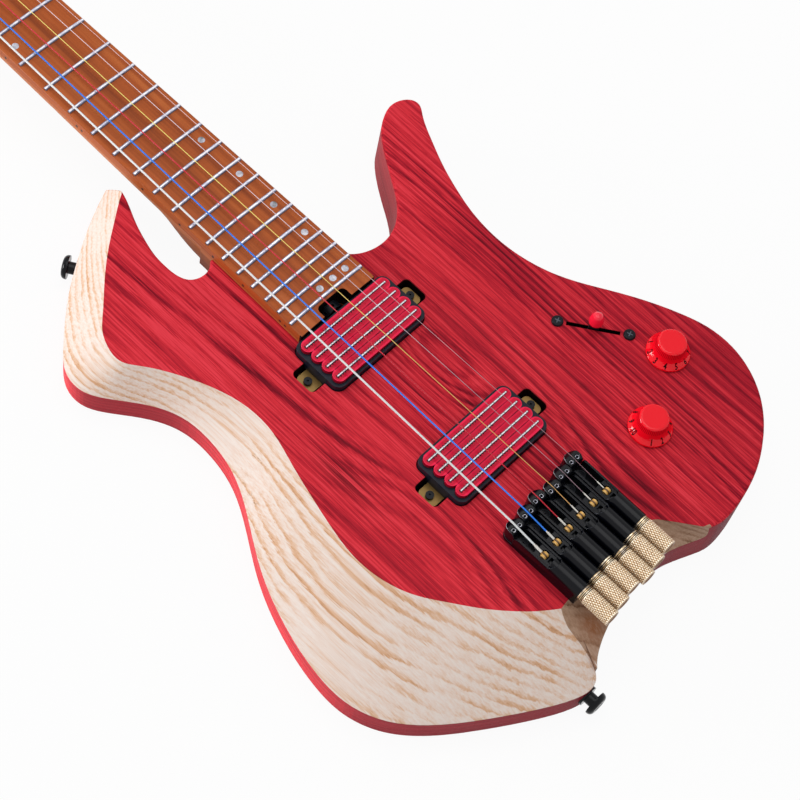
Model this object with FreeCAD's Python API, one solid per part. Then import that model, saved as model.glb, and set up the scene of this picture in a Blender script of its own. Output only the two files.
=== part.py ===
import FreeCAD, Part
import math
import os

# Headless electric guitar, lying on its back with the strings up. Sizes are in millimetres.
# +X points to the treble side, +Y along the neck to the nut and +Z up.
# The origin is on the back face, under the saddle line, on the centre line.

os.makedirs("parts", exist_ok=True)
Vec = FreeCAD.Vector
ALONG_X = Vec(1, 0, 0)
ALONG_Y = Vec(0, 1, 0)
UP = Vec(0, 0, 1)

# Strings and scale
scale_length = 648.0
fret_count = 24
string_gauges = [1.17, 0.91, 0.66, 0.43, 0.33, 0.25]
string_count = len(string_gauges)
nut_pitch = 7.0
bridge_pitch = 10.5
cut_over = 2.0
thread_gap = 0.02
groove_gap = 0.03

# Body
body_half_width = 152.0
body_length = 396.0
body_thickness = 38.0
side_height = 19.0
recess_low_height = 24.0
slope_reach_share = 0.25
back_edge_radius = 2.5
top_edge_radius = 1.6

# Outline points: shares of body_half_width from the centre line and of body_length from the saddle line.
bass_side_shares = [
    (-0.118, 0.785), (-0.214, 0.767), (-0.355, 0.741), (-0.500, 0.707), (-0.646, 0.666),
    (-0.770, 0.621), (-0.845, 0.583), (-0.852, 0.553), (-0.796, 0.513), (-0.711, 0.470),
    (-0.661, 0.429), (-0.650, 0.375), (-0.680, 0.318), (-0.760, 0.258), (-0.862, 0.194),
    (-0.947, 0.116), (-0.993, 0.040), (-0.995, -0.018), (-0.944, -0.071), (-0.838, -0.118),
    (-0.678, -0.164), (-0.507, -0.205), (-0.401, -0.225), (-0.342, -0.230), (-0.303, -0.226),
    (-0.280, -0.217),
]
bass_ridge_shares = [
    (-0.145, 0.740), (-0.222, 0.729), (-0.312, 0.706), (-0.411, 0.678), (-0.523, 0.641),
    (-0.628, 0.601), (-0.694, 0.571), (-0.716, 0.543), (-0.694, 0.516), (-0.635, 0.485),
    (-0.566, 0.436), (-0.512, 0.374), (-0.509, 0.318), (-0.543, 0.268), (-0.582, 0.215),
    (-0.625, 0.146), (-0.637, 0.081), (-0.599, 0.025), (-0.526, -0.020), (-0.454, -0.058),
    (-0.375, -0.092), (-0.309, -0.115), (-0.260, -0.129), (-0.241, -0.134), (-0.230, -0.137),
    (-0.221, -0.140),
]
tail_shares = [
    (-0.280, -0.217), (-0.207, -0.198), (-0.135, -0.187), (-0.059, -0.179), (0.020, -0.173),
    (0.099, -0.169), (0.178, -0.169), (0.237, -0.172), (0.305, -0.181), (0.362, -0.190),
    (0.414, -0.197),
]
recess_top_shares = [
    (-0.559, -0.167), (-0.421, -0.152), (-0.322, -0.139), (-0.238, -0.131), (-0.132, -0.128),
    (0.000, -0.128), (0.132, -0.128), (0.220, -0.128), (0.270, -0.141), (0.322, -0.167),
    (0.386, -0.199),
]
recess_foot_shares = tail_shares[:-1] + [(0.408, -0.201)]
treble_side_shares = [
    (0.414, -0.197), (0.480, -0.198), (0.566, -0.193), (0.676, -0.180), (0.765, -0.162),
    (0.849, -0.138), (0.930, -0.102), (0.978, -0.064), (0.999, -0.023), (0.989, 0.020),
    (0.957, 0.057), (0.905, 0.101), (0.836, 0.148), (0.770, 0.190), (0.724, 0.227),
    (0.694, 0.266), (0.680, 0.308), (0.684, 0.349), (0.697, 0.379), (0.718, 0.409),
    (0.760, 0.455), (0.814, 0.500), (0.868, 0.537), (0.892, 0.554),
]
treble_cutaway_shares = [
    (0.892, 0.554), (0.888, 0.563), (0.864, 0.573), (0.836, 0.578), (0.797, 0.579),
    (0.752, 0.573), (0.707, 0.562), (0.658, 0.542), (0.595, 0.507), (0.558, 0.484),
    (0.511, 0.458), (0.464, 0.440), (0.411, 0.428), (0.350, 0.423), (0.288, 0.426),
    (0.237, 0.435), (0.204, 0.447), (0.188, 0.458),
]
bass_cutaway_shares = [
    (-0.188, 0.564), (-0.205, 0.558), (-0.234, 0.554), (-0.268, 0.555), (-0.299, 0.562),
    (-0.317, 0.575), (-0.324, 0.596), (-0.320, 0.624), (-0.304, 0.649), (-0.280, 0.677),
    (-0.250, 0.703), (-0.228, 0.726), (-0.217, 0.747), (-0.214, 0.767),
]
jack_place_share = (0.849, -0.138)
horn_button_share = (-0.500, 0.707)
tail_button_share = (-0.342, -0.230)
tone_place_share = (0.791, 0.026)
volume_place_share = (0.509, -0.035)
selector_place_share = (0.661, 0.124)

# Neck and fretboard
nut_width = 41.5
board_end_width = 57.2
board_overhang = 9.7
board_rise = 8.5
board_thickness = 7.0
board_radius = 400.0
heel_depth = 17.5
heel_length = 80.0
heel_taper_length = 34.0
neck_depth_nut = 13.5
neck_depth_heel = 15.5
neck_curve_power = 2.3
heel_curve_power = 7.0
neck_curve_steps = 16
heel_taper_steps = 6
pocket_gap = 0.1
notch_half_width = 10.5
notch_depth = 7.0
notch_floor_height = 25.0
notch_corner_radius = 3.0

# Frets, nut and markers
fret_width = 2.4
fret_height = 1.15
fret_round = 0.9
fret_inset = 0.7
tang_width = 0.55
tang_depth = 1.8
nut_thickness = 4.6
nut_rise = 2.1
nut_string_rise = 1.75
dot_radius = 2.1
dot_depth = 1.6
dot_edge_share = 0.70
dot_middle_share = 0.36
side_dot_radius = 0.9
side_dot_depth = 1.6
side_dot_drop = 4.3
side_dot_step = 2.0
bass_dot_frets = [3, 5, 7, 9]
treble_dot_frets = [15, 17, 19, 21]
single_dot_frets = bass_dot_frets + treble_dot_frets
double_dot_frets = [12, 24]

# Truss rod
rod_width = 6.0
rod_depth = 8.4
rod_length = 470.0
rod_gap = 0.05
rod_stem_radius = 2.5
wheel_radius = 6.2
wheel_length = 4.8
wheel_gap = 0.6
wheel_hole_radius = 1.1
wheel_hole_depth = 3.0
wheel_hole_count = 6

# Headpiece with its string clamps
head_length = 20.0
head_height = 12.5
head_gap = 1.6
head_side = 0.6
head_hole_radius = 1.1
clamp_radius = 1.7
clamp_height = 1.2
clamp_screw_radius = 2.0
clamp_screw_rise = 0.8
clamp_hex = 2.0
clamp_hex_depth = 1.8
clamp_touch_gap = 0.04
head_screw_inset = 4.0

# Neck bolts through ferrules
bolt_radius = 2.0
bolt_head_radius = 4.0
bolt_head_height = 2.4
bolt_head_inset = 0.4
bolt_bite = 12.0
ferrule_radius = 7.0
ferrule_height = 4.0
bolt_gap = 0.3
bolt_places_share = [(-0.60, 0.15), (0.60, 0.15), (-0.60, 0.61), (0.42, 0.35)]

# Pickups: four bar coils each
coil_count = 4
coil_pitch = 8.05
bobbin_gap = 0.1
bobbin_length = 66.4
bobbin_top_thickness = 3.0
bobbin_bottom_thickness = 0.8
bobbin_core_width = 3.0
bobbin_core_end = 0.8
bobbin_rise = 6.8
blade_length = 61.9
blade_thickness = 1.2
blade_rise = 0.8
blade_foot_gap = 0.3
case_length = 70.6
case_width = 35.6
case_corner_radius = 5.0
case_rise = 4.3
case_gap = 0.15
coil_side_gap = 0.25
magnet_length = 58.0
magnet_width = 4.4
magnet_height = 3.0
magnet_top_gap = 0.2
plate_thickness = 1.0
plate_drop = 5.7
plate_inset = 0.8
tab_reach = 44.2
tab_width = 12.4
tab_corner_radius = 3.0
leg_screw_reach = 40.4
cavity_gap = 0.5
ear_reach = 45.5
ear_width = 16.6
ear_depth = 12.0
ear_corner_radius = 3.0
leg_screw_radius = 1.3
leg_screw_head_radius = 2.4
leg_screw_head_height = 2.0
leg_screw_bite = 9.0
bridge_pickup_place = 41.3
neck_pickup_gap = 0.4

# Bridge: one unit for each string
unit_width = 10.1
unit_length = 54.0
unit_base = 2.4
unit_wall = 1.3
unit_wall_height = 10.6
unit_wall_round = 3.0
barrel_axis_height = 9.0
barrel_opening = 31.0
barrel_rear_wall = 1.4
carriage_bore_radius = 3.8
channel_rear = 41.0
saddle_length = 8.6
saddle_side_gap = 0.25
saddle_gap = 0.3
saddle_clear = 0.5
saddle_crest_height = 12.0
saddle_crest_back = 3.0
saddle_front_height = 8.0
saddle_rear_height = 9.2
saddle_notch_depth = 0.15
height_screw_radius = 1.25
height_screw_spread = 2.4
height_screw_back = 5.8
height_screw_top = 11.2
height_screw_hex = 1.3
height_screw_hex_depth = 1.6
intonation_shares = [-0.067, 0.076, 0.267, 0.114, 0.314, 0.495]
mount_screw_places = [12.6, 33.0]
mount_screw_radius = 1.5
mount_screw_head_radius = 2.8
mount_screw_head_height = 1.7
mount_screw_length = 15.0

# String carriages and tuner knobs
ball_back_shares = [0.489, 0.507, 0.522, 0.481, 0.515, 0.553]
ball_radius = 1.95
ball_width = 3.6
ball_height = 8.4
ball_pocket_radius = 2.8
ball_pocket_gap = 0.15
string_slot_width = 2.2
string_slot_height = 7.2
string_lift = 1.2
string_wrap = 0.22
string_wrap_length = 7.0
carriage_gap = 0.15
carriage_height = 10.2
carriage_front = 5.0
carriage_block = 6.0
carriage_rear = 17.0
carriage_rod_gap = 0.08
carriage_thread_depth = 13.4
tuner_screw_radius = 2.0
tuner_screw_gap = 0.06
tuner_screw_front = 38.3
tuner_gap = 0.2
tuner_collar_radius = 4.8
tuner_collar_length = 3.0
tuner_ring_depth = 0.45
tuner_ring_width = 0.5
tuner_knob_length = 18.1
tuner_chamfer = 0.5

# Volume and tone controls
top_wood = 6.0
pot_radius = 10.0
pot_height = 9.0
pot_floor = 1.5
bushing_radius = 3.45
bushing_rise = 4.6
shaft_radius = 3.0
shaft_gap = 0.05
shaft_rise = 11.2
panel_nut_width = 10.0
panel_nut_height = 2.0
knob_lift = 0.8
knob_height = 12.2
knob_skirt_radius = 12.7
knob_skirt_height = 1.8
knob_crown_foot_radius = 9.0
knob_crown_foot_height = 5.2
knob_crown_radius = 7.9
knob_crown_round = 0.9
knob_hollow_radius = 7.0
knob_hollow_height = 4.4

# Pickup selector
selector_angle = -54.3
selector_screw_spacing = 41.2
selector_slot_length = 31.0
selector_slot_width = 2.4
selector_plate_length = 47.0
selector_plate_width = 8.0
selector_plate_thickness = 1.2
selector_cheek_length = 26.0
selector_pivot_drop = 18.0
selector_pin_radius = 1.5
selector_pin_gap = 0.05
lever_thickness = 1.4
lever_width = 6.0
lever_eye_radius = 3.6
lever_side_gap = 0.4
lever_neck_width = 3.2
lever_reach = 11.0
tip_base = 6.6
tip_height = 8.8
tip_radius = 4.2
tip_top_radius = 2.4
tip_gap = 0.02
selector_screw_head_radius = 3.5
selector_screw_head_height = 1.6
selector_screw_radius = 1.5
selector_screw_gap = 0.1

# Control cavity and its cover
cavity_margin = 14.0
cover_lip = 5.0
cover_thickness = 2.0
cover_gap = 0.2
cover_screw_count = 6
cover_screw_head_radius = 2.2
cover_screw_head_height = 1.3
cover_screw_radius = 1.1
cover_screw_length = 10.0

# Output jack
jack_height = 19.0
jack_barrel_radius = 6.3
jack_barrel_length = 36.0
jack_flange_radius = 9.5
jack_flange_height = 2.2
jack_bore_radius = 3.25
jack_bore_length = 30.0
jack_gap = 0.1
jack_recess_depth = 2.4
jack_channel_length = 52.0

# Strap buttons
button_height = 9.5
button_flange_radius = 6.2
button_flange_height = 1.6
button_neck_radius = 3.6
button_neck_height = 4.4
button_head_radius = 7.0
button_head_height = 3.4
button_seat_depth = 1.0
button_seat_gap = 0.1
button_screw_radius = 1.7
button_screw_head_radius = 2.9
button_screw_head_height = 1.6
button_screw_bite = 18.0

# Drilled ways for the wires
wire_channel_radius = 2.2
wire_height = 31.0
wire_side = 20.0

# Places that follow from the sizes above
board_end = scale_length / 2 ** (fret_count / 12) - board_overhang
board_top = body_thickness + board_rise
board_bottom = board_top - board_thickness
heel_bottom = board_bottom - heel_depth
heel_end = board_end + heel_length
nut_end = scale_length + nut_thickness
head_start = nut_end + head_gap
neck_end = head_start + head_length
string_middle = (string_count - 1) / 2
control_top = body_thickness - top_wood
neck_pickup_place = board_end - neck_pickup_gap - case_width / 2
plate_bottom = body_thickness - plate_drop
plate_top = plate_bottom + plate_thickness
bobbin_top = body_thickness + bobbin_rise
bobbin_shelf = bobbin_top - bobbin_top_thickness
bobbin_foot = plate_top + blade_foot_gap + magnet_height + magnet_top_gap
bobbin_core_length = blade_length + 2 * bobbin_core_end


def box(x_low, x_high, y_low, y_high, z_low, z_high):
    """Upright block between two corners."""
    return Part.makeBox(x_high - x_low, y_high - y_low, z_high - z_low, Vec(x_low, y_low, z_low))


def rod(radius, start, end):
    """Round bar from one point to another."""
    way = end - start
    return Part.makeCylinder(radius, way.Length, start, way)


def upright(radius, x, y, z_low, z_high):
    """Round bar that stands on the floor plane."""
    return rod(radius, Vec(x, y, z_low), Vec(x, y, z_high))


def prism(points, z_low, z_high):
    """Straight-sided block over a closed list of plan points."""
    corners = [Vec(x, y, z_low) for x, y in points]
    face = Part.Face(Part.makePolygon(corners + corners[:1]))
    return face.extrude(UP * (z_high - z_low))


def rounded_block(x_low, x_high, y_low, y_high, z_low, z_high, radius):
    """Block with its four upright edges rounded."""
    block = box(x_low, x_high, y_low, y_high, z_low, z_high)
    upright_edges = [e for e in block.Edges if abs(e.tangentAt(e.FirstParameter).z) > 1 / 2]
    return block.makeFillet(radius, upright_edges)


def capsule(length, width, x, y, z_low, z_high):
    """Bar with round ends, lying along X."""
    radius = width / 2
    reach = length / 2 - radius
    middle = box(x - reach, x + reach, y - radius, y + radius, z_low, z_high)
    ends = [upright(radius, x + side * reach, y, z_low, z_high) for side in (-1, 1)]
    return middle.fuse(ends).removeSplitter()


def hex_block(width, x, y, z_low, z_high):
    """Six-sided block, width measured across its flats."""
    radius = width / math.sqrt(3)
    turns = [math.radians(60 * step) for step in range(6)]
    points = [(x + radius * math.cos(t), y + radius * math.sin(t)) for t in turns]
    return prism(points, z_low, z_high)


def turned(profile, x, y):
    """Solid of revolution about an upright axis from (radius, height) points."""
    corners = [Vec(radius, 0, height) for radius, height in profile]
    face = Part.Face(Part.makePolygon(corners + corners[:1]))
    solid = face.revolve(Vec(), UP, 360)
    return solid.translated(Vec(x, y, 0))


def joined(shapes):
    """One solid from touching shapes."""
    return shapes[0].fuse(shapes[1:]).removeSplitter()


def save(name, shape):
    """Writes one piece, or one group of like pieces, under its name."""
    shape.exportStep(os.path.join("parts", name + ".step"))


def save_group(name, shapes):
    save(name, Part.makeCompound(shapes))


def plan_point(share, height=0.0):
    """Point of the body's plan from its pair of shares."""
    return Vec(share[0] * body_half_width, share[1] * body_length, height)


def travelled(points):
    """Distance along straight steps to each point."""
    total = 0.0
    stops = [total]
    for a, b in zip(points, points[1:]):
        total += (b - a).Length
        stops.append(total)
    return stops


def plan_curve(points, stops=None):
    """Smooth curve through points, with its parameter at each point as given."""
    curve = Part.BSplineCurve()
    curve.interpolate(Points=points, Parameters=stops or travelled(points))
    return curve


def sloped_cutter(high_shares, low_shares, low_height):
    """Block whose underside slopes from a curve on the body's top down and out past a lower curve."""
    high = [plan_point(share, body_thickness) for share in high_shares]
    low = [plan_point(share, low_height) for share in low_shares]
    far = [b + (b - a) * slope_reach_share for a, b in zip(high, low)]
    stops = travelled(low)
    near_edge = plan_curve(high, stops).toShape()
    far_edge = plan_curve(far, stops).toShape()
    roof_height = body_thickness + cut_over
    near_roof = plan_curve([Vec(p.x, p.y, roof_height) for p in high], stops).toShape()
    far_roof = plan_curve([Vec(p.x, p.y, roof_height) for p in far], stops).toShape()
    sides = [(near_edge, far_edge), (near_edge, near_roof), (far_edge, far_roof), (near_roof, far_roof)]
    faces = [Part.makeRuledSurface(a, b) for a, b in sides]
    for end in (0, -1):
        corners = [high[end], far[end], Vec(far[end].x, far[end].y, roof_height)]
        corners.append(Vec(high[end].x, high[end].y, roof_height))
        faces.append(Part.Face(Part.makePolygon(corners + corners[:1])))
    shell = Part.makeShell(faces)
    shell.sewShape()
    solid = Part.makeSolid(shell)
    if solid.Volume < 0:
        solid.reverse()
    return solid


def board_half_width(y):
    """Half the fretboard's width at a distance from the saddle line."""
    share = (y - board_end) / (scale_length - board_end)
    return (board_end_width + (nut_width - board_end_width) * share) / 2


def fret_place(number):
    return scale_length / 2 ** (number / 12)


def string_x_at_nut(index):
    return (index - string_middle) * nut_pitch


def string_x_at_bridge(index):
    return (index - string_middle) * bridge_pitch


def board_height(x):
    """Height of the crowned fretboard at a distance from the centre line."""
    return board_top - board_radius + math.sqrt(board_radius ** 2 - x ** 2)


def neck_plan(y_low, y_high, margin, z_low, z_high):
    """Block that follows the neck's taper in plan."""
    left = [(-board_half_width(y) - margin, y) for y in (y_low, y_high)]
    right = [(board_half_width(y) + margin, y) for y in (y_high, y_low)]
    return prism(left + right, z_low, z_high)


def notch_block(z_low, z_high):
    """Opening in the neck's end around the truss rod's wheel."""
    y_low = board_end - notch_corner_radius - cut_over
    sides = (-notch_half_width, notch_half_width, y_low, board_end + notch_depth)
    return rounded_block(*sides, z_low, z_high, notch_corner_radius)


def unit_front(index):
    """Front of a bridge unit's saddle, measured from the saddle line."""
    return intonation_shares[index] * bridge_pitch


# Outline curves of the body
rim_shares = bass_side_shares[1:] + tail_shares[1:] + treble_side_shares[1:] + treble_cutaway_shares[1:]
rim_curve = plan_curve([plan_point(share) for share in rim_shares])
bass_cutaway_curve = plan_curve([plan_point(share) for share in bass_cutaway_shares])
neck_line = Part.makeLine(plan_point(rim_shares[-1]), plan_point(bass_cutaway_shares[0]))


def side_seat(share, height):
    """Point on a side wall and the wall's level outward direction there."""
    step = rim_curve.parameter(plan_point(share))
    point = rim_curve.value(step)
    along = rim_curve.tangent(step)[0]
    outward = Vec(along.y, -along.x, 0)
    return Vec(point.x, point.y, height), outward.normalize()


jack_seat, jack_out = side_seat(jack_place_share, jack_height)
horn_seat, horn_out = side_seat(horn_button_share, button_height)
tail_seat, tail_out = side_seat(tail_button_share, button_height)
button_seats = [(horn_seat, horn_out), (tail_seat, tail_out)]
tone_place = plan_point(tone_place_share)
volume_place = plan_point(volume_place_share)
selector_place = plan_point(selector_place_share)
selector_way = Vec(math.cos(math.radians(selector_angle)), math.sin(math.radians(selector_angle)), 0)
selector_across = Vec(-selector_way.y, selector_way.x, 0)
selector_screws = [selector_place + selector_way * (side * selector_screw_spacing / 2) for side in (-1, 1)]
control_points = [volume_place, tone_place, selector_screws[1], selector_screws[0]]


def control_outline(margin, z_low, z_high):
    """Rounded block around the controls, a margin away from their places."""
    wire = Part.makePolygon(control_points + control_points[:1])
    outer = wire.makeOffset2D(margin)
    face = Part.Face(outer)
    return face.extrude(UP * (z_high - z_low)).translated(UP * z_low)


def cover_screw_points():
    wire = Part.makePolygon(control_points + control_points[:1])
    middle = wire.makeOffset2D(cavity_margin + cover_lip / 2)
    return middle.discretize(Number=cover_screw_count + 1)[:-1]


def selector_box(length, across, z_low, z_high):
    """Block along the selector's slot, centred on it."""
    block = box(-length / 2, length / 2, -across / 2, across / 2, z_low, z_high)
    block.rotate(Vec(), UP, selector_angle)
    return block.translated(selector_place)


def bolt_points():
    points = []
    for across, along in bolt_places_share:
        y = board_end + along * heel_length
        points.append((across * board_half_width(y), y))
    return points


def pickup_pocket(y):
    """Routed hole for one pickup, with an ear at each end for its mounting tabs."""
    half_length = case_length / 2 + cavity_gap
    half_width = case_width / 2 + cavity_gap
    top = body_thickness + cut_over
    corner = case_corner_radius + cavity_gap
    main = rounded_block(-half_length, half_length, y - half_width, y + half_width,
                         plate_bottom, top, corner)
    ears = []
    for side in (-1, 1):
        inner = side * (case_length / 2 - case_corner_radius)
        low, high = sorted((inner, side * ear_reach))
        ears.append(rounded_block(low, high, y - ear_width / 2, y + ear_width / 2,
                                  body_thickness - ear_depth, top, ear_corner_radius))
    return main.fuse(ears)


def body_blank():
    """Outline block with eased edges, before anything is cut from it."""
    wire = Part.Wire([rim_curve.toShape(), neck_line, bass_cutaway_curve.toShape()])
    blank = Part.Face(wire).extrude(UP * body_thickness)
    for height, radius in ((body_thickness, top_edge_radius), (0, back_edge_radius)):
        level = [e for e in blank.Edges if abs(e.CenterOfMass.z - height) < radius]
        rims = [e for e in level if e.Length > body_half_width / 2 and e.BoundBox.ZLength < radius]
        blank = blank.makeFillet(radius, rims)
    return blank


def bridge_place(index):
    return Vec(string_x_at_bridge(index), unit_front(index), body_thickness)


def mount_screw_points():
    """Screw places under the bridge units."""
    points = []
    for index in range(string_count):
        base = bridge_place(index)
        points += [(base.x, base.y - back) for back in mount_screw_places]
    return points


def wire_channel_runs():
    """Drilled ways for the leads, from the pickups' hollows to the controls' hollow."""
    start = Vec(wire_side, neck_pickup_place, wire_height)
    turn = Vec(wire_side, bridge_pickup_place, wire_height)
    end = Vec(volume_place.x, bridge_pickup_place, wire_height)
    return [(start, turn), (turn, end)]


def make_body():
    """Ash body: bevelled bass side, scooped tail, pocket, routed hollows and drilled holes."""
    body = body_blank()
    body = body.cut(sloped_cutter(bass_ridge_shares, bass_side_shares, side_height))
    body = body.cut(sloped_cutter(recess_top_shares, recess_foot_shares, recess_low_height))
    top = body_thickness + cut_over
    hollows = [neck_plan(board_end - pocket_gap, scale_length, pocket_gap, heel_bottom, top)]
    hollows += [pickup_pocket(y) for y in (neck_pickup_place, bridge_pickup_place)]
    hollows.append(control_outline(cavity_margin, -cut_over, control_top))
    hollows.append(control_outline(cavity_margin + cover_lip, -cut_over, cover_thickness))
    for place in (tone_place, volume_place):
        hollows.append(upright(bushing_radius + shaft_gap, place.x, place.y, 0, top))
    hollows.append(selector_box(selector_slot_length, selector_slot_width, control_top - cut_over, top))
    for place in selector_screws:
        hollows.append(upright(selector_screw_radius + thread_gap, place.x, place.y, 0, top))
    for point in cover_screw_points():
        reach = cover_thickness + cover_screw_length
        hollows.append(upright(cover_screw_radius + thread_gap, point.x, point.y, 0, reach))
    for x, y in bolt_points():
        hollows.append(upright(ferrule_radius + thread_gap, x, y, -cut_over, ferrule_height))
        hollows.append(upright(bolt_radius + bolt_gap, x, y, 0, heel_bottom + cut_over))
    for x, y in mount_screw_points():
        depth = body_thickness - mount_screw_length
        hollows.append(upright(mount_screw_radius + thread_gap, x, y, depth, top))
    for y in (neck_pickup_place, bridge_pickup_place):
        for side in (-1, 1):
            depth = body_thickness - ear_depth - leg_screw_bite
            hollows.append(upright(leg_screw_radius + thread_gap, side * leg_screw_reach, y, depth, top))
    inner = jack_seat - jack_out * jack_channel_length
    hollows.append(rod(jack_barrel_radius + jack_gap, inner, jack_seat + jack_out * cut_over))
    seat = jack_seat - jack_out * jack_recess_depth
    hollows.append(rod(jack_flange_radius + jack_gap, seat, jack_seat + jack_out * jack_flange_radius))
    for seat, out in button_seats:
        floor = seat - out * button_seat_depth
        hollows.append(rod(button_flange_radius + button_seat_gap, floor, seat + out * button_neck_height))
        deep = floor - out * (button_screw_bite + thread_gap)
        hollows.append(rod(button_screw_radius + thread_gap, deep, seat))
    for start, end in wire_channel_runs():
        hollows.append(rod(wire_channel_radius, start, end))
    return body.cut(hollows)


def neck_section(y, depth, power):
    """Closed section of the neck's back under a flat top, as a superellipse."""
    half = board_half_width(y)
    points = []
    for step in range(neck_curve_steps + 1):
        angle = math.pi * step / neck_curve_steps
        x = -half * math.copysign(abs(math.cos(angle)) ** (2 / power), math.cos(angle))
        z = board_bottom - depth * abs(math.sin(angle)) ** (2 / power)
        points.append(Vec(x, y, z))
    curve = Part.BSplineCurve()
    curve.interpolate(Points=points)
    back = curve.toShape()
    lid = Part.makeLine(points[-1], points[0])
    return Part.Wire([back, lid])


def make_neck():
    """Roasted maple neck with a square heel, a rod channel and an opening for the wheel."""
    sections = []
    for step in range(heel_taper_steps + 1):
        share = step / heel_taper_steps
        eased = share ** 2 * (3 - 2 * share)
        depth = heel_depth + (neck_depth_heel - heel_depth) * eased
        power = heel_curve_power + (neck_curve_power - heel_curve_power) * eased
        sections.append(neck_section(heel_end + heel_taper_length * share, depth, power))
    sections.append(neck_section(neck_end, neck_depth_nut, neck_curve_power))
    shaft = Part.makeLoft(sections, True, True)
    heel = neck_plan(board_end, heel_end, 0, heel_bottom, board_bottom)
    neck = joined([heel, shaft])
    cuts = [notch_block(notch_floor_height, board_top)]
    rod_start = board_end + notch_depth
    half = rod_width / 2 + rod_gap
    cuts.append(box(-half, half, rod_start - cut_over, rod_start + rod_length + rod_gap,
                    board_bottom - rod_depth - rod_gap, board_top))
    for x, y in bolt_points():
        bite_top = heel_bottom + bolt_bite
        cuts.append(upright(bolt_radius + thread_gap, x, y, heel_bottom - cut_over, bite_top))
    for x, y in head_screw_points():
        depth = board_bottom - head_screw_depth()
        cuts.append(upright(mount_screw_radius + thread_gap, x, y, depth, board_top))
    return neck.cut(cuts)


def fret_slot(number, gap):
    """Block that a fret's tang fills, a little longer than the board is wide."""
    y = fret_place(number)
    half = tang_width / 2 + gap
    reach = board_half_width(y) - fret_inset + gap
    low = board_height(reach) - tang_depth - gap
    return box(-reach, reach, y - half, y + half, low, board_top)


def crown(radius_step):
    """Long round bar whose top is the fretboard's crown, raised by a step."""
    axis = Vec(0, board_end - board_overhang, board_top - board_radius)
    return Part.makeCylinder(board_radius + radius_step, scale_length, axis, ALONG_Y)


def dot_points():
    """Plan points of the face markers."""
    points = []
    for frets, side in ((bass_dot_frets, -1), (treble_dot_frets, 1)):
        for number in frets:
            y = (fret_place(number) + fret_place(number - 1)) / 2
            points.append((side * dot_edge_share * board_half_width(y), y))
    y = (fret_place(fret_count) + fret_place(fret_count - 1)) / 2
    points += [(share * board_half_width(y), y) for share in (0, dot_middle_share, dot_edge_share)]
    return points


def side_dot_places():
    """Distances of the edge markers from the saddle line, one or two for a fret."""
    places = [(fret_place(number) + fret_place(number - 1)) / 2 for number in single_dot_frets]
    for number in double_dot_frets:
        middle = (fret_place(number) + fret_place(number - 1)) / 2
        places += [middle - side_dot_step, middle + side_dot_step]
    return places


def side_dot_bar(y, reach):
    """Short bar that lies in the board's bass edge."""
    edge = -board_half_width(y)
    height = board_height(edge) - side_dot_drop
    return rod(side_dot_radius, Vec(edge + side_dot_depth, y, height), Vec(edge - reach, y, height))


def make_fretboard():
    board = neck_plan(board_end, scale_length, 0, board_bottom, board_top)
    board = board.common(crown(0))
    cuts = [notch_block(board_bottom - cut_over, board_top + cut_over)]
    cuts += [fret_slot(number, 0) for number in range(1, fret_count + 1)]
    for x, y in dot_points():
        floor = board_height(x) - dot_depth
        cuts.append(upright(dot_radius, x, y, floor, board_top + cut_over))
    cuts += [side_dot_bar(y, cut_over) for y in side_dot_places()]
    return board.cut(cuts)


def make_fret(number):
    """Crowned wire with its tang."""
    y = fret_place(number)
    reach = board_half_width(y) - fret_inset
    low = board_height(reach) - fret_height
    bead = box(-reach, reach, y - fret_width / 2, y + fret_width / 2, low, board_top + cut_over)
    bead = bead.common(crown(fret_height)).cut(crown(0))
    crest = board_height(reach) + fret_height
    rims = [e for e in bead.Edges if e.Length > reach and e.CenterOfMass.z > crest]
    bead = bead.makeFillet(fret_round, rims)
    return bead.fuse(fret_slot(number, 0).common(crown(0))).removeSplitter()


def nut_string_height(index):
    """Centre of a string where it lies in the nut."""
    return board_height(string_x_at_nut(index)) + nut_string_rise + string_gauges[index] / 2


def make_nut():
    half = nut_width / 2
    nut = box(-half, half, scale_length, nut_end, board_bottom, board_top + nut_rise)
    nut = nut.common(crown(nut_rise))
    grooves = []
    for index in range(string_count):
        x = string_x_at_nut(index)
        height = nut_string_height(index)
        radius = string_gauges[index] / 2 + groove_gap
        start = Vec(x, scale_length - cut_over, height)
        grooves.append(rod(radius, start, Vec(x, nut_end + cut_over, height)))
        grooves.append(box(x - radius, x + radius, scale_length - cut_over, nut_end + cut_over,
                           height, board_top + nut_rise + cut_over))
    return nut.cut(grooves)


def head_screw_points():
    """Two mounting screws, between the outer and the next strings."""
    y = head_start + head_screw_inset
    reach = nut_pitch * (string_middle - 1 / 2)
    return [(-reach, y), (reach, y)]


def head_screw_depth():
    return mount_screw_length - head_height / 2


def clamp_y():
    return head_start + head_length / 2 + head_screw_inset / 2


def make_headpiece():
    """Block that anchors the plain ends of the strings."""
    half = nut_width / 2 - head_side
    top = board_bottom + head_height
    block = rounded_block(-half, half, head_start, neck_end, board_bottom, top, head_screw_inset / 2)
    cuts = []
    for index in range(string_count):
        x = string_x_at_nut(index)
        height = nut_string_height(index)
        start = Vec(x, head_start - cut_over, height)
        cuts.append(rod(head_hole_radius, start, Vec(x, neck_end + cut_over, height)))
        cuts.append(upright(clamp_screw_radius + thread_gap, x, clamp_y(), height, top + cut_over))
    for x, y in head_screw_points():
        seat = board_bottom + head_height / 2
        cuts.append(upright(mount_screw_radius + thread_gap, x, y, board_bottom - cut_over, top))
        cuts.append(upright(mount_screw_head_radius + thread_gap, x, y, seat, top + cut_over))
    return block.cut(cuts)


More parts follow.
